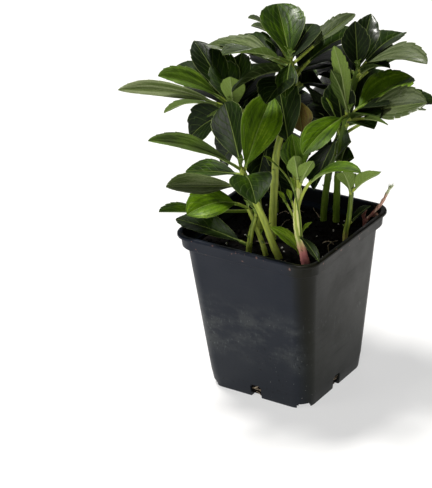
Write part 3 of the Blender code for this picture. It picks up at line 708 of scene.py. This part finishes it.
def green_stem():
    """Smooth fleshy stems and stalks: green to yellow by tone, pink where tinted, and painted
    shade in the flutes' grooves.
    """
    graph = Graph("green_stem")
    _, crest, flute = graph.attribute("leaf_place")
    tone, tint, _ = graph.attribute("leaf_look")
    streak = graph.grain((900, 900, 90), 4)
    patch = graph.noise(220, 3)
    # painted shade: the grooves between the fluted ridges are darkened
    groove = crest.step(0.1, -0.9) * flute.step(0, 0.14)
    level = tone.vary(streak, 0.5) + groove * 0.6
    colour = layers(
        (0.80, 0.80, 0.36),
        (level.step(-0.3, 0.3), (0.42, 0.50, 0.08)),
        (level.step(0.2, 0.9), (0.07, 0.12, 0.010)),
        (tint * patch.step(0.2, 0.6, 0.75, 1), (0.86, 0.30, 0.30)),
        (patch.step(0.62, 0.76, 0, 0.18), (0.22, 0.20, 0.07)),
    )
    graph.bump(streak, 0.35, 0.0003)
    return graph.finish(colour, streak.step(0.3, 0.7, 0.34, 0.5), 0.25)


def dry_bark():
    """Reddish, peeling bark, paler towards the top, with a pale broken end."""
    graph = Graph("dry_bark")
    place = graph.attribute("leaf_place")[0]
    tone = graph.attribute("leaf_look")[0]
    grain = graph.grain((1500, 1500, 260), 5)
    patch = graph.noise(420, 4)
    end = place + tone.step(0.5, 1) + patch * 0.2
    colour = layers(
        (0.09, 0.022, 0.017),
        (grain.step(0.3, 0.7), (0.29, 0.11, 0.085)),
        (place.step(0.55, 0.75), (0.62, 0.36, 0.27)),
        (patch.step(0.52, 0.66), (0.66, 0.46, 0.34)),
        (end.step(0.93, 1.04), (0.62, 0.68, 0.42)),
    )
    graph.bump(grain, 0.9, 0.0005)
    return graph.finish(colour, grain.step(0.3, 0.7, 0.7, 0.9))


def nursery_plastic():
    """Black recycled plastic: smeared with dust, pitted low down and specked with soil at the
    band.
    Painted light: the right wall warm and dark, the other walls bluer, all lighter towards the
    foot, and the smear stronger off the right wall; the inside wall is painted shade, near black."""
    graph = Graph("nursery_plastic")
    x, _, z = graph.split(graph.place())
    normal = graph.add("ShaderNodeNewGeometry", out="Normal")
    facing = graph.add("ShaderNodeVectorMath", normal, graph.place(), out="Value",
                       operation="DOT_PRODUCT")
    # painted shade: the inside wall above the soil is made near black
    shaded_inside = facing.step(-0.01, -0.03) * z.step(0.05, 0.06)
    # front: every wall but the right one, painted as lit by a cool light
    front = x.step(0.037, 0.027)
    cloud = graph.noise(38, 5)
    fine = graph.noise(520, 3)
    scuff = graph.grain((40, 40, 520), 4)
    strokes = graph.grain((48, 48, 85), 6, 0.66)
    scratch = graph.grain((900, 900, 260), 2)
    # painted light: the right wall warm and dark, the others bluer, both lighter towards the foot
    right = z.step(0, 0.075).mix((0.010, 0.011, 0.005), (0.004, 0.004, 0.001))
    left = z.step(0, 0.080).mix((0.013, 0.016, 0.022), (0.004, 0.007, 0.015))
    smear = strokes.step(0.40, 0.66) * (z.step(0.018, 0.036) * z.step(0.068, 0.042))
    pits = fine.step(0.64, 0.70) * z.step(0.06, 0.03)
    specks = graph.noise(900, 1).step(0.76, 0.80) * cloud.step(0.5, 0.6)
    crumbs = graph.noise(330, 2).step(0.66, 0.72) * z.step(0.084, 0.088)
    colour = layers(
        front.mix(right, left),
        # painted light: the dust smear is drawn stronger on the cool-lit walls than on the right
        # wall
        (smear * front.step(0, 1, 0.10, 0.80), (0.046, 0.051, 0.052)),
        (smear * scratch.step(0.60, 0.70, 0, 0.45), (0.16, 0.17, 0.17)),
        (scuff.step(0.60, 0.74, 0, 0.08), (0.05, 0.053, 0.060)),
        (pits * 0.7, (0.003, 0.003, 0.003)),
        (specks * 0.4, (0.42, 0.40, 0.38)),
        (crumbs * 0.5, (0.28, 0.15, 0.12)),
        (shaded_inside * 0.8, (0.001, 0.001, 0.001)),
    )
    worn = cloud.step(0.3, 0.7, 0.36, 0.48) + scuff.step(0.58, 0.74, 0, 0.06)
    graph.bump(fine * 0.3 + scuff * 0.3, 0.25, 0.0003)
    return graph.finish(colour, worn + shaded_inside * 0.35, 0.13)


def potting_mix():
    graph = Graph("potting_mix")
    lump = graph.noise(260, 6)
    fibre = graph.grain((1400, 300, 900), 5)
    colour = layers(
        (0.0015, 0.0013, 0.0012),
        (lump.step(0.35, 0.7), (0.006, 0.0042, 0.0032)),
        (fibre.step(0.62, 0.75, 0, 0.4), (0.030, 0.019, 0.011)),
    )
    graph.bump(lump, 0.8, 0.0012)
    return graph.finish(colour, lump.step(0.3, 0.7, 0.75, 0.95), 0.08)


def two_tone(name, size, high, dark, light, rough, relief=None):
    """A finish that wanders between two colours and two roughnesses."""
    graph = Graph(name)
    grain = graph.noise(*size)
    if relief:
        graph.bump(grain, *relief)
    graph.finish(grain.step(0.3, high).mix(dark, light), grain.step(0.3, 0.7, *rough))
    return graph


def root_skin():
    return two_tone("root_skin", (700, 4), 0.7, (0.10, 0.065, 0.035), (0.34, 0.28, 0.20),
                    (0.6, 0.8), (0.5, 0.0002)).material


def perlite_grain():
    return two_tone("perlite_grain", (1500, 4), 0.65, (0.42, 0.40, 0.36),
                    (0.82, 0.81, 0.77), (0.75, 0.95), (0.9, 0.0004)).material


def pale_floor():
    graph = two_tone("pale_floor", (3, 3), 0.7, (0.38, 0.38, 0.38), (0.41, 0.41, 0.41),
                     (0.7, 0.8))
    graph.set("Emission Color", (1, 1, 1))
    graph.set("Emission Strength", FLOOR_GLOW)
    return graph.material


# Meshes


def strip(low, high, count):
    """The faces between two rings of points, by their first points."""
    return [(low + k, low + (k + 1) % count, high + (k + 1) % count, high + k)
            for k in range(count)]


def soften(mesh, sharp):
    """Shades the mesh smooth, but for edges over an angle in degrees."""
    mesh.polygons.foreach_set("use_smooth", [True] * len(mesh.polygons))
    mesh.set_sharp_from_angle(angle=math.radians(sharp))


class Skin:
    """Points, faces and the numbers that the materials read, gathered into one piece."""

    def __init__(self):
        self.points, self.places, self.looks = [], [], []
        self.faces, self.slots = [], []

    def gather(self, points, places=None, looks=None):
        """Takes in points, and returns the number of the first one."""
        first = len(self.points)
        self.points += points
        self.places += places or [BLANK] * len(points)
        self.looks += looks or [BLANK] * len(points)
        return first

    def rings(self, rings, slot_of, places=None, looks=None):
        """A closed body through rings of points; slot_of says each face's material."""
        count = len(rings[0])
        first = self.gather([point for ring in rings for point in ring], places, looks)
        for row in range(len(rings) - 1):
            low = first + row * count
            self.faces += strip(low, low + count, count)
            self.slots += [slot_of(row, k) for k in range(count)]
        last = first + (len(rings) - 1) * count
        self.faces.append(tuple(range(first, first + count))[::-1])
        self.faces.append(tuple(range(last, last + count)))
        self.slots += [slot_of(0, 0), slot_of(len(rings) - 2, 0)]

    def lump(self, centre, size, stretch, rng):
        """An irregular grain, its size in millimetres."""
        shape = bmesh.new()
        bmesh.ops.create_icosphere(shape, subdivisions=1, radius=1)
        spin = rng.uniform(0, math.tau)
        axis = Vector((rng.random(), rng.random(), 1)).normalized()
        turn = Matrix.Rotation(spin, 3, axis)
        points = []
        for vertex in shape.verts:
            swell = 1 + 0.35 * rng.uniform(-1, 1)
            point = turn @ Vector([a * b for a, b in zip(vertex.co, stretch)])
            points.append(centre + point * size * swell * MM)
        first = self.gather(points)
        self.faces += [tuple(first + vertex.index for vertex in face.verts)
                       for face in shape.faces]
        self.slots += [0] * len(shape.faces)
        shape.free()

    def tube(self, points, radii, sides, rough, rng, look=lambda share: BLANK, slot=0, flute=0):
        """A rough tube with a radius in millimetres for each point; look gives its numbers at a
        share of its length, and flute cuts three grooves along it."""
        rings, places, looks = [], [], []
        side = (points[1] - points[0]).normalized().orthogonal().normalized()
        for k, point in enumerate(points):
            before, after = points[max(k - 1, 0)], points[min(k + 1, len(points) - 1)]
            along = (after - before).normalized()
            side = (side - along * side.dot(along)).normalized()
            other = along.cross(side)
            share = k / (len(points) - 1)
            ring = []
            for step in range(sides):
                angle = math.tau * step / sides
                crest = math.cos(3 * (angle + 0.03 * k))
                radius = radii[k] * (1 + rough * rng.uniform(-1, 1)) * (1 + flute * crest)
                outward = side * math.cos(angle) + other * math.sin(angle)
                ring.append(point + outward * radius * MM)
                places.append((share, crest, flute))
                looks.append(look(share))
            rings.append(ring)
        self.rings(rings, lambda row, k: slot, places, looks)

    def piece(self, name, materials, stands_for=(), slot="foliage", sharp=55):
        mesh = bpy.data.meshes.new(name)
        mesh.from_pydata(self.points, [], self.faces)
        for material in materials:
            mesh.materials.append(material)
        mesh.polygons.foreach_set("material_index", self.slots)
        for label, values in (("leaf_place", self.places), ("leaf_look", self.looks)):
            data = mesh.attributes.new(label, "FLOAT_VECTOR", "POINT")
            data.data.foreach_set("vector", np.array(values, dtype=np.float32).ravel())
        shape = bmesh.new()
        shape.from_mesh(mesh)
        bmesh.ops.recalc_face_normals(shape, faces=shape.faces)
        shape.to_mesh(mesh)
        shape.free()
        soften(mesh, sharp)
        thing = add_object(name, mesh)
        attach(thing, "root")
        if stands_for:
            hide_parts(*stands_for)
        return thing


# Leaves and stems


def outline_rows(young, teeth, rng):
    """Rows along the blade: place, share of the half width on each side, forward lean."""
    places, shares = zip(*(YOUNG_ENVELOPE if young else ENVELOPE))

    def share(place):
        return float(np.interp(place, places, shares))

    ends = [end + rng.uniform(-TOOTH_JITTER, TOOTH_JITTER)
            for end in (YOUNG_TOOTH_ENDS if young else TOOTH_ENDS)]
    rows = [(place, (share(place), share(place)), 0)
            for place in np.linspace(0, ends[0], ROWS_BELOW_TEETH)]
    rows[-1] = (*rows[-1][:2], TOOTH_LEAN)
    for start, end in zip(ends, ends[1:] + [1]):
        cuts = [TOOTH_DEPTH * teeth * rng.uniform(0.6, 1.25) for _ in range(2)]
        for step in TOOTH_STEPS:
            place = start + (end - start) * step
            edges = [share(place) * (1 - cut * (1 - step) / (1 - TOOTH_STEPS[0])) for cut in cuts]
            lean = TOOTH_LEAN * (0.3 if step < 1 else 1) if place < 1 else 0
            rows.append((place, edges, lean))
    return rows


def fine_leaf(skin, leaf, base, shift, rng):
    """One leaf of the finished plant: a round stalk that opens into a thin, ribbed, toothed
    blade."""
    extra_reach, turn = shift
    chord = tip_of(leaf, base, extra_reach) - base
    bend, normal = upper_side(chord, leaf, turn)
    half_width = leaf["width"] * MM / 2
    stalk = min(STALK_RADIUS * MM, half_width / 3)
    share = leaf["stalk"]
    twist = math.radians(rng.uniform(-6, 6))
    wave = rng.uniform(0.3, 0.8) * half_width / 14
    wave_starts = [rng.uniform(0, math.tau) for _ in range(2)]
    skews = [rng.uniform(-0.02, 0.02) for _ in range(2)]

    def point(along, place, edges, lean, v, under):
        """A point of the skin: v runs from edge to edge of the blade and round the stalk."""
        out = abs(v)
        right = 0 if v < 0 else 1
        opening = min(place / BLADE_START, 1)
        opening = opening * opening * (3 - 2 * opening)
        fold = math.radians(FOLD) * opening
        radius = stalk * (1 - 0.75 * place)
        half = math.hypot(edges[right] * half_width, radius * (1 - place))
        skew = skews[right] * out**2 * math.sin(math.pi * place)
        along += (1 - share) * (lean * out**3 + skew)
        spot, tangent, face = arched(leaf, base, chord, bend, normal, along)
        face = Matrix.Rotation(twist * along, 3, tangent) @ face
        side = tangent.cross(face)
        from_rib = out * half
        groove = math.exp(-((from_rib / (RIB_GROOVE_WIDTH * MM)) ** 2))
        phase = (place - VEIN_SLOPE * out) * VEIN_COUNT + (VEIN_STAGGER if v < 0 else 0)
        quilt = -QUILT_HEIGHT * MM * math.cos(math.tau * phase)
        quilt *= min(from_rib / (3 * MM), 1) * (1 - out**4)
        ripple = wave * out**2 * math.sin(math.tau * 1.7 * place + wave_starts[right])
        ripple *= math.sin(math.pi * min(place, 1)) ** 0.5
        blade = half * math.sin(fold) * (1.45 * out - 0.45 * out**2) + quilt + ripple
        thickness = FINE_HALF_THICKNESS * MM * (1 - out**6)
        # The stalk's round section and the blade's folded one, mixed where it opens
        angle = v * math.pi / 2
        if under:
            round_part = -radius * math.cos(angle)
            blade -= thickness + radius * (1 - place) ** 0.7 * groove
        else:
            round_part = radius * math.cos(angle) * 0.85
            blade += thickness - RIB_GROOVE * MM * groove * (1 - place)
        across = (1 - opening) * radius * math.sin(angle) + opening * half * v * math.cos(fold)
        rise = (1 - opening) * round_part + opening * blade
        return spot + side * across + face * rise

    stations = [(share * row / STALK_ROWS, 0, (0, 0), 0) for row in range(STALK_ROWS)]
    for place, edges, lean in outline_rows(is_young(leaf, chord.length), leaf["teeth"], rng):
        stations.append((share + (1 - share) * place, place, edges, lean))
    rings, places, looks = [], [], []
    for row, (along, place, edges, lean) in enumerate(stations):
        rings.append([point(along, place, edges, lean, v, under) for v, under in AROUND])
        places += [(place, v, leaf["shine"]) for v, _ in AROUND]
        if row < STALK_ROWS:
            # the stalk darkens as the leaf's tone falls, so it carries the leaf's painted shade
            # too
            look = (0.2 + 0.5 * (1 - leaf["tone"]), 0, 0)
        else:
            look = (leaf["tone"], leaf["dry"], max(edges) * leaf["width"] / 2 + 0.4)
        looks += [look] * len(AROUND)

    def slot_of(row, k):
        return 2 if row < STALK_ROWS else int(k >= 2 * ACROSS)

    skin.rings(rings, slot_of, places, looks)


def fine_stem(skin, row, rng):
    """The stem: a little swollen at each leaf and old scar, with small scale leaves low down and
    a bud of four at the top."""
    foot, top = row["radii"]
    green, pink = row["stem"]
    knots = [leaf["at"] for leaf in row["leaves"]] + list(SCARS)
    radii = []
    for k in range(STEM_ROWS):
        share = k / (STEM_ROWS - 1)
        swell = max(math.exp(-(((share - knot) / 0.012) ** 2)) for knot in knots)
        radii.append((foot + (top - foot) * share) * (0.97 + 0.10 * swell))
    radii[-1] *= 0.6

    def look(share):
        blush = min(max((0.46 - share) / 0.14, 0), 1)
        # the full green of 1 on the back shoots is partly painted shade
        return (green * (0.7 + 0.5 * share), pink * blush, 0)

    skin.tube(smooth_route(row["route"], STEM_ROWS), radii, STEM_SIDES, 0.012, rng, look,
              slot=2, flute=0.05 + 0.09 * pink)
    along = hundredths(row)
    for at in SCALES:
        scale = hidden(at, rng.uniform(0, 360), 62, 4.5, 2.4, 0.1, 0.05, 0.75)
        fine_leaf(skin, scale, along[round(100 * at)], (0, 0), rng)
    heading = rng.uniform(0, 360)
    for number in range(4):
        bud = hidden(1, heading + 90 * number, rng.uniform(55, 75), rng.uniform(5, 8), 3,
                     0.16, 0.05, 0.7)
        fine_leaf(skin, bud, along[-1], (0, 0), rng)


def dry_stub(skin, row, rng):
    """The dead stem: a cracked, peeling stub that ends in pale splinters."""
    foot, top = row["radii"]
    points, radii = [], []
    for k, point in enumerate(smooth_route(row["route"], STUB_ROWS)):
        kink = [noise.noise(point * 300 + Vector((7 * axis, 0, 0))) for axis in range(3)]
        points.append(point + Vector(kink) * 0.5 * MM)
        swell = 1 + 0.12 * math.sin(k * 1.3)
        radii.append((foot + (top - foot) * k / (STUB_ROWS - 1)) * swell)
    skin.tube(points, radii, 12, 0.10, rng)
    end = points[-1]
    along = (end - points[-4]).normalized()
    for _ in range(SPLINTER_COUNT):
        aside = Vector([rng.uniform(-1, 1) for _ in range(3)]) * 0.4
        start = end - along * 1.5 * MM + aside * MM
        reach = (along + aside * 0.8).normalized() * rng.uniform(2.5, 4.5) * MM
        splinter = [start + reach * share for share in (0, 0.35, 0.7, 1)]
        skin.tube(splinter, [0.32, 0.28, 0.2, 0.06], 6, 0.1, rng, lambda share: (1, 0, 0))


def make_plants(placed, finishes):
    """Every shoot, its leaves placed as the solids place theirs."""
    stems = {name: stem_tree(row) for name, row in SHOOTS.items()}
    for name, row in SHOOTS.items():
        rng = random.Random(name)
        skin = Skin()
        others = [tree for other, tree in stems.items() if other != name]
        along = hundredths(row)
        grown = []
        for leaf in row["leaves"]:
            base = along[round(100 * leaf["at"])]
            shift = settle(leaf, base, placed + others)
            grown.append(leaf_tree(leaf_sections(leaf, base, *shift)))
            fine_leaf(skin, leaf, base, shift, rng)
        placed += grown
        if name == "dry_stem":
            dry_stub(skin, row, rng)
            skin.piece("dry_stub", [finishes["bark"]] * 3, (name,), "dry_stem")
        else:
            fine_stem(skin, row, rng)
            skin.piece(name.replace("shoot", "plant"),
                       [finishes["upper"], finishes["under"], finishes["stem"]], (name,))


# Pot and soil


def rounded_square(width, corner, height, steps=CORNER_STEPS):
    points = []
    inset = width / 2 - corner
    for quarter, (sx, sy) in enumerate(((1, 1), (-1, 1), (-1, -1), (1, -1))):
        for step in range(steps + 1):
            angle = math.radians(90 * (quarter + step / steps))
            x = sx * inset + corner * math.cos(angle)
            y = sy * inset + corner * math.sin(angle)
            points.append(Vector((x, y, height)) * MM)
    return points


def slot_cutter(size, turn, reach):
    """A rounded block that cuts one drain slot through the foot."""
    width, height, depth = (value * MM for value in size)
    shape = bmesh.new()
    bmesh.ops.create_cube(shape, size=1)
    bmesh.ops.scale(shape, vec=(depth * 2, width, height * 2), verts=shape.verts)
    bmesh.ops.translate(shape, vec=(reach * MM, 0, 0), verts=shape.verts)
    inward = [edge for edge in shape.edges
              if abs(edge.verts[0].co.x - edge.verts[1].co.x) > depth]
    bmesh.ops.bevel(shape, geom=inward, offset=0.9 * MM, segments=4, affect="EDGES")
    bmesh.ops.rotate(shape, cent=(0, 0, 0), verts=shape.verts,
                     matrix=Matrix.Rotation(math.radians(turn), 3, "Z"))
    mesh = bpy.data.meshes.new("slot_cutter")
    shape.to_mesh(mesh)
    shape.free()
    return add_object("slot_cutter", mesh)


def fine_pot(finish):
    """The solid pot with softened edges."""
    band_foot = POT_HEIGHT - BAND_HEIGHT
    lip_foot = POT_HEIGHT - LIP_HEIGHT
    inner_top = BAND_WIDTH - 2 * WALL
    # Each row: a width, corner and height, and the edges beside them, wider and higher by so much
    profile = (
        (POT_FOOT_WIDTH, FOOT_CORNER, 0, (-1.6, 0), (-0.5, 0.25), (0, 0.8)),
        (WALL_FOOT_WIDTH, FOOT_CORNER, FOOT_HEIGHT, (-0.2, -0.7), (0.1, 0)),
        (WALL_TOP_WIDTH, WALL_CORNER, band_foot, (0, -2)),
        (WALL_TOP_WIDTH, TOP_CORNER - 0.9, band_foot, (1.2, -1.1)),
        (BAND_WIDTH, TOP_CORNER, band_foot, (-1.4, -0.3), (-0.8, 0.2)),
        (BAND_WIDTH, TOP_CORNER, lip_foot, (-0.1, -0.9), (0.6, -0.4)),
        (LIP_WIDTH, TOP_CORNER, lip_foot, (-0.4, -0.1), (0, 0.3)),
        (LIP_WIDTH, TOP_CORNER, POT_HEIGHT, (0, -0.6), (-0.3, -0.2), (-0.9, 0)),
        (inner_top, TOP_CORNER - WALL, POT_HEIGHT, (0.9, 0), (0.3, -0.2), (0, -0.7)),
        (inner_top, TOP_CORNER - WALL, band_foot, (-0.8, 0.6)),
        (WALL_TOP_WIDTH - 2 * WALL, WALL_CORNER - WALL, band_foot, (0, -1.4)),
        (WALL_FOOT_WIDTH - 2 * WALL, FOOT_CORNER - WALL, FOOT_HEIGHT, (0, 0)),
        (POT_FOOT_WIDTH - 2 * WALL, FOOT_CORNER - WALL, FLOOR, (0, 0)),
    )
    skin = Skin()
    skin.rings([rounded_square(width + wider, corner, height + higher)
                for width, corner, height, *edges in profile for wider, higher in edges],
               lambda row, k: 0)
    pot = skin.piece("nursery_pot", [finish], ("pot",), "pot")
    half = POT_FOOT_WIDTH / 2
    corner_reach = half * math.sqrt(2) - FOOT_CORNER * (math.sqrt(2) - 1)
    cutters = []
    for turn in (0, 90, 180, 270):
        cutters.append(slot_cutter(SIDE_SLOT, turn, half))
        cutters.append(slot_cutter(CORNER_SLOT, turn + 45, corner_reach))
    for cutter in cutters:
        cut = pot.modifiers.new("slot", "BOOLEAN")
        cut.operation = "DIFFERENCE"
        cut.object = cutter
        cut.solver = "EXACT"
    mesh = bpy.data.meshes.new_from_object(evaluated(pot))
    pot.modifiers.clear()
    pot.data = mesh
    for cutter in cutters:
        bpy.data.objects.remove(cutter, do_unlink=True)
    soften(mesh, 38)


def soil_height(x, y):
    """The mix's surface at a place in millimetres: a low crown, lumpy all over."""
    spread = max(abs(x), abs(y)) / SOIL_REACH
    level = SOIL_LEVEL + SOIL_CROWN * max(0, 1 - spread**3) + 0.35
    for height, scale in SOIL_LUMPS:
        level += height * noise.noise(Vector((x, y, 0)) * scale)
    return level


def over_soil(x, y, rise=0):
    return Vector((x, y, soil_height(x, y) + rise)) * MM


def soil_surface(finish):
    """A lumpy skin over the block of mix, from the middle out to the wall."""
    rim = rounded_square(WALL_TOP_WIDTH - 2 * WALL - 1.6, WALL_CORNER - WALL, 0, steps=14)
    count = len(rim)
    skin = Skin()
    for level in range(SOIL_RINGS, 0, -1):
        rise = -1.2 if level == SOIL_RINGS else 0
        skin.gather([over_soil(point.x / MM * level / SOIL_RINGS,
                               point.y / MM * level / SOIL_RINGS, rise) for point in rim])
    middle = skin.gather([over_soil(0, 0)])
    for low in range(0, middle - count, count):
        skin.faces += strip(low, low + count, count)
    low = middle - count
    skin.faces += [(low + k, low + (k + 1) % count, middle) for k in range(count)]
    skin.faces.append(tuple(range(count))[::-1])
    skin.slots = [0] * len(skin.faces)
    skin.piece("soil_surface", [finish], slot="soil", sharp=70)


def on_soil(pixel):
    """The place on the soil that shows at a picture point."""
    eye, along = sight_line(pixel)
    level = (SOIL_LEVEL + 0.8) * MM
    spot = eye + along * ((level - eye.z) / along.z)
    spot.z = soil_height(spot.x / MM, spot.y / MM) * MM
    return spot


def somewhere(rng):
    """A place on the mix in millimetres."""
    return rng.uniform(-LITTER_REACH, LITTER_REACH), rng.uniform(-LITTER_REACH, LITTER_REACH)


def soil_crumbs(rng):
    skin = Skin()
    for _ in range(CRUMB_COUNT):
        x, y = somewhere(rng)
        size = 0.35 + 1.2 * rng.random() ** 3
        stretch = (1, rng.uniform(0.6, 1), rng.uniform(0.5, 0.9))
        skin.lump(over_soil(x, y, size * 0.25), size, stretch, rng)
    return skin


def bark_chips(rng):
    skin = Skin()
    for _ in range(CHIP_COUNT):
        centre = over_soil(*somewhere(rng), 0.5)
        size = rng.uniform(1, 2.4)
        skin.lump(centre, size, (1, rng.uniform(0.15, 0.35), 0.14), rng)
    return skin


def perlite(rng):
    skin = Skin()
    grains = [on_soil(pixel) for pixel in PERLITE_SEEN]
    grains += [over_soil(*somewhere(rng)) for _ in range(GRAIN_COUNT)]
    for spot in grains:
        size = rng.uniform(0.5, 1)
        skin.lump(spot + Vector((0, 0, 0.4 * MM)), size, (1, 0.85, 0.8), rng)
    return skin


def fine_roots(rng):
    """Threads that lie on the mix, and roots that show in the side slots of the foot."""
    skin = Skin()
    threads = [(on_soil(start), on_soil(end)) for start, end in THREADS_SEEN]
    for _ in range(THREAD_COUNT):
        x, y, heading = rng.uniform(-30, 30), rng.uniform(-30, 30), rng.uniform(0, math.tau)
        run = rng.uniform(6, 13)
        ends = [(x + share * run * math.cos(heading), y + share * run * math.sin(heading))
                for share in (-0.5, 0.5)]
        if max(abs(value) for end in ends for value in end) < LITTER_REACH:
            threads.append([over_soil(*end) for end in ends])
    for start, end in threads:
        sway = (end - start).cross(Vector((0, 0, 1))) * rng.uniform(-0.3, 0.3)
        points = []
        for share in [step / 12 for step in range(13)]:
            swing = math.sin(math.pi * share)
            point = start.lerp(end, share) + sway * swing
            rise = soil_height(point.x / MM, point.y / MM) * MM
            point.z = rise + (-0.4 + 1.5 * swing) * MM
            points.append(point)
        skin.tube(points, [rng.uniform(0.22, 0.38)] * len(points), 8, 0.08, rng)
    inner_face = POT_FOOT_WIDTH / 2 - 1.1
    for quarter, number in enumerate(FOOT_ROOT_COUNTS):
        turn = Matrix.Rotation(math.radians(90 * quarter), 3, "Z")
        for _ in range(number):
            side, height = rng.uniform(-3.2, 3.2), rng.uniform(1.8, 7.2)
            tilt = rng.uniform(-1.6, 1.6)
            points = [Vector((inner_face + 0.25 * math.sin(3 * share), side + share * 2.4,
                              height + share * tilt)) * MM for share in np.linspace(-1, 1, 9)]
            shown = [turn @ point for point in points if abs(point.y) < 3.4 * MM]
            if len(shown) > 3:
                skin.tube(shown, [0.26] * len(shown), 8, 0.08, rng)
    return skin


def soil_litter(finishes):
    """Crumbs, bark chips, perlite and fine roots on the soil."""
    rng = random.Random(11)
    soil_crumbs(rng).piece("soil_crumbs", [finishes["soil"]], slot="soil", sharp=80)
    bark_chips(rng).piece("bark_chips", [finishes["soil"]], slot="soil", sharp=80)
    perlite(rng).piece("perlite", [finishes["perlite"]], slot="soil", sharp=80)
    fine_roots(rng).piece("fine_roots", [finishes["root"]], slot="soil")


# Stage


def make_camera():
    eye, right, up, back = view_frame()
    data = bpy.data.cameras.new("camera")
    data.sensor_width = SENSOR
    data.lens = PIXELS_PER_RADIAN * SENSOR / max(PICTURE_SIZE)
    data.clip_start = 0.01
    data.clip_end = 50
    camera = add_object("camera", data)
    matrix = Matrix((right, up, back)).transposed().to_4x4()
    matrix.translation = eye
    camera.matrix_world = matrix
    bpy.context.scene.camera = camera


def make_floor():
    shape = bmesh.new()
    bmesh.ops.create_grid(shape, x_segments=12, y_segments=12, size=FLOOR_REACH)
    mesh = bpy.data.meshes.new("floor")
    shape.to_mesh(mesh)
    shape.free()
    mesh.materials.append(pale_floor())
    floor = add_object("floor", mesh)


def make_lamps():
    for name, (kind, place, power, colour, size) in LAMPS.items():
        data = bpy.data.lights.new(name, kind)
        data.energy = power
        data.color = colour
        if kind == "SUN":
            data.angle = math.radians(size)
        else:
            data.shape = "DISK"
            data.size = size
        lamp = add_object(name, data)
        lamp.location = place
        lamp.rotation_euler = (LAMP_AIM - Vector(place)).to_track_quat("-Z", "Y").to_euler()


def make_stage():
    make_camera()
    make_floor()
    make_lamps()
    world = bpy.data.worlds.new("studio")
    world.use_nodes = True
    background = world.node_tree.nodes["Background"]
    background.inputs["Color"].default_value = (1, 1, 1, 1)
    background.inputs["Strength"].default_value = FILL_LIGHT
    bpy.context.scene.world = world
    bpy.context.scene.view_settings.view_transform = "Standard"


def main():
    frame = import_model()
    nodes = frame["nodes"]
    make_stage()
    finishes = {"upper": leaf_upper(), "under": leaf_under(), "stem": green_stem(),
                "bark": dry_bark(), "soil": potting_mix(), "perlite": perlite_grain(),
                "root": root_skin()}
    make_plants([tree_of(nodes["pot"].data), tree_of(nodes["soil"].data)], finishes)
    fine_pot(nursery_plastic())
    for material_slot in nodes["soil"].material_slots:
        material_slot.material = finishes["soil"]
    soil_surface(finishes["soil"])
    soil_litter(finishes)
    bpy.context.view_layer.update()


main()
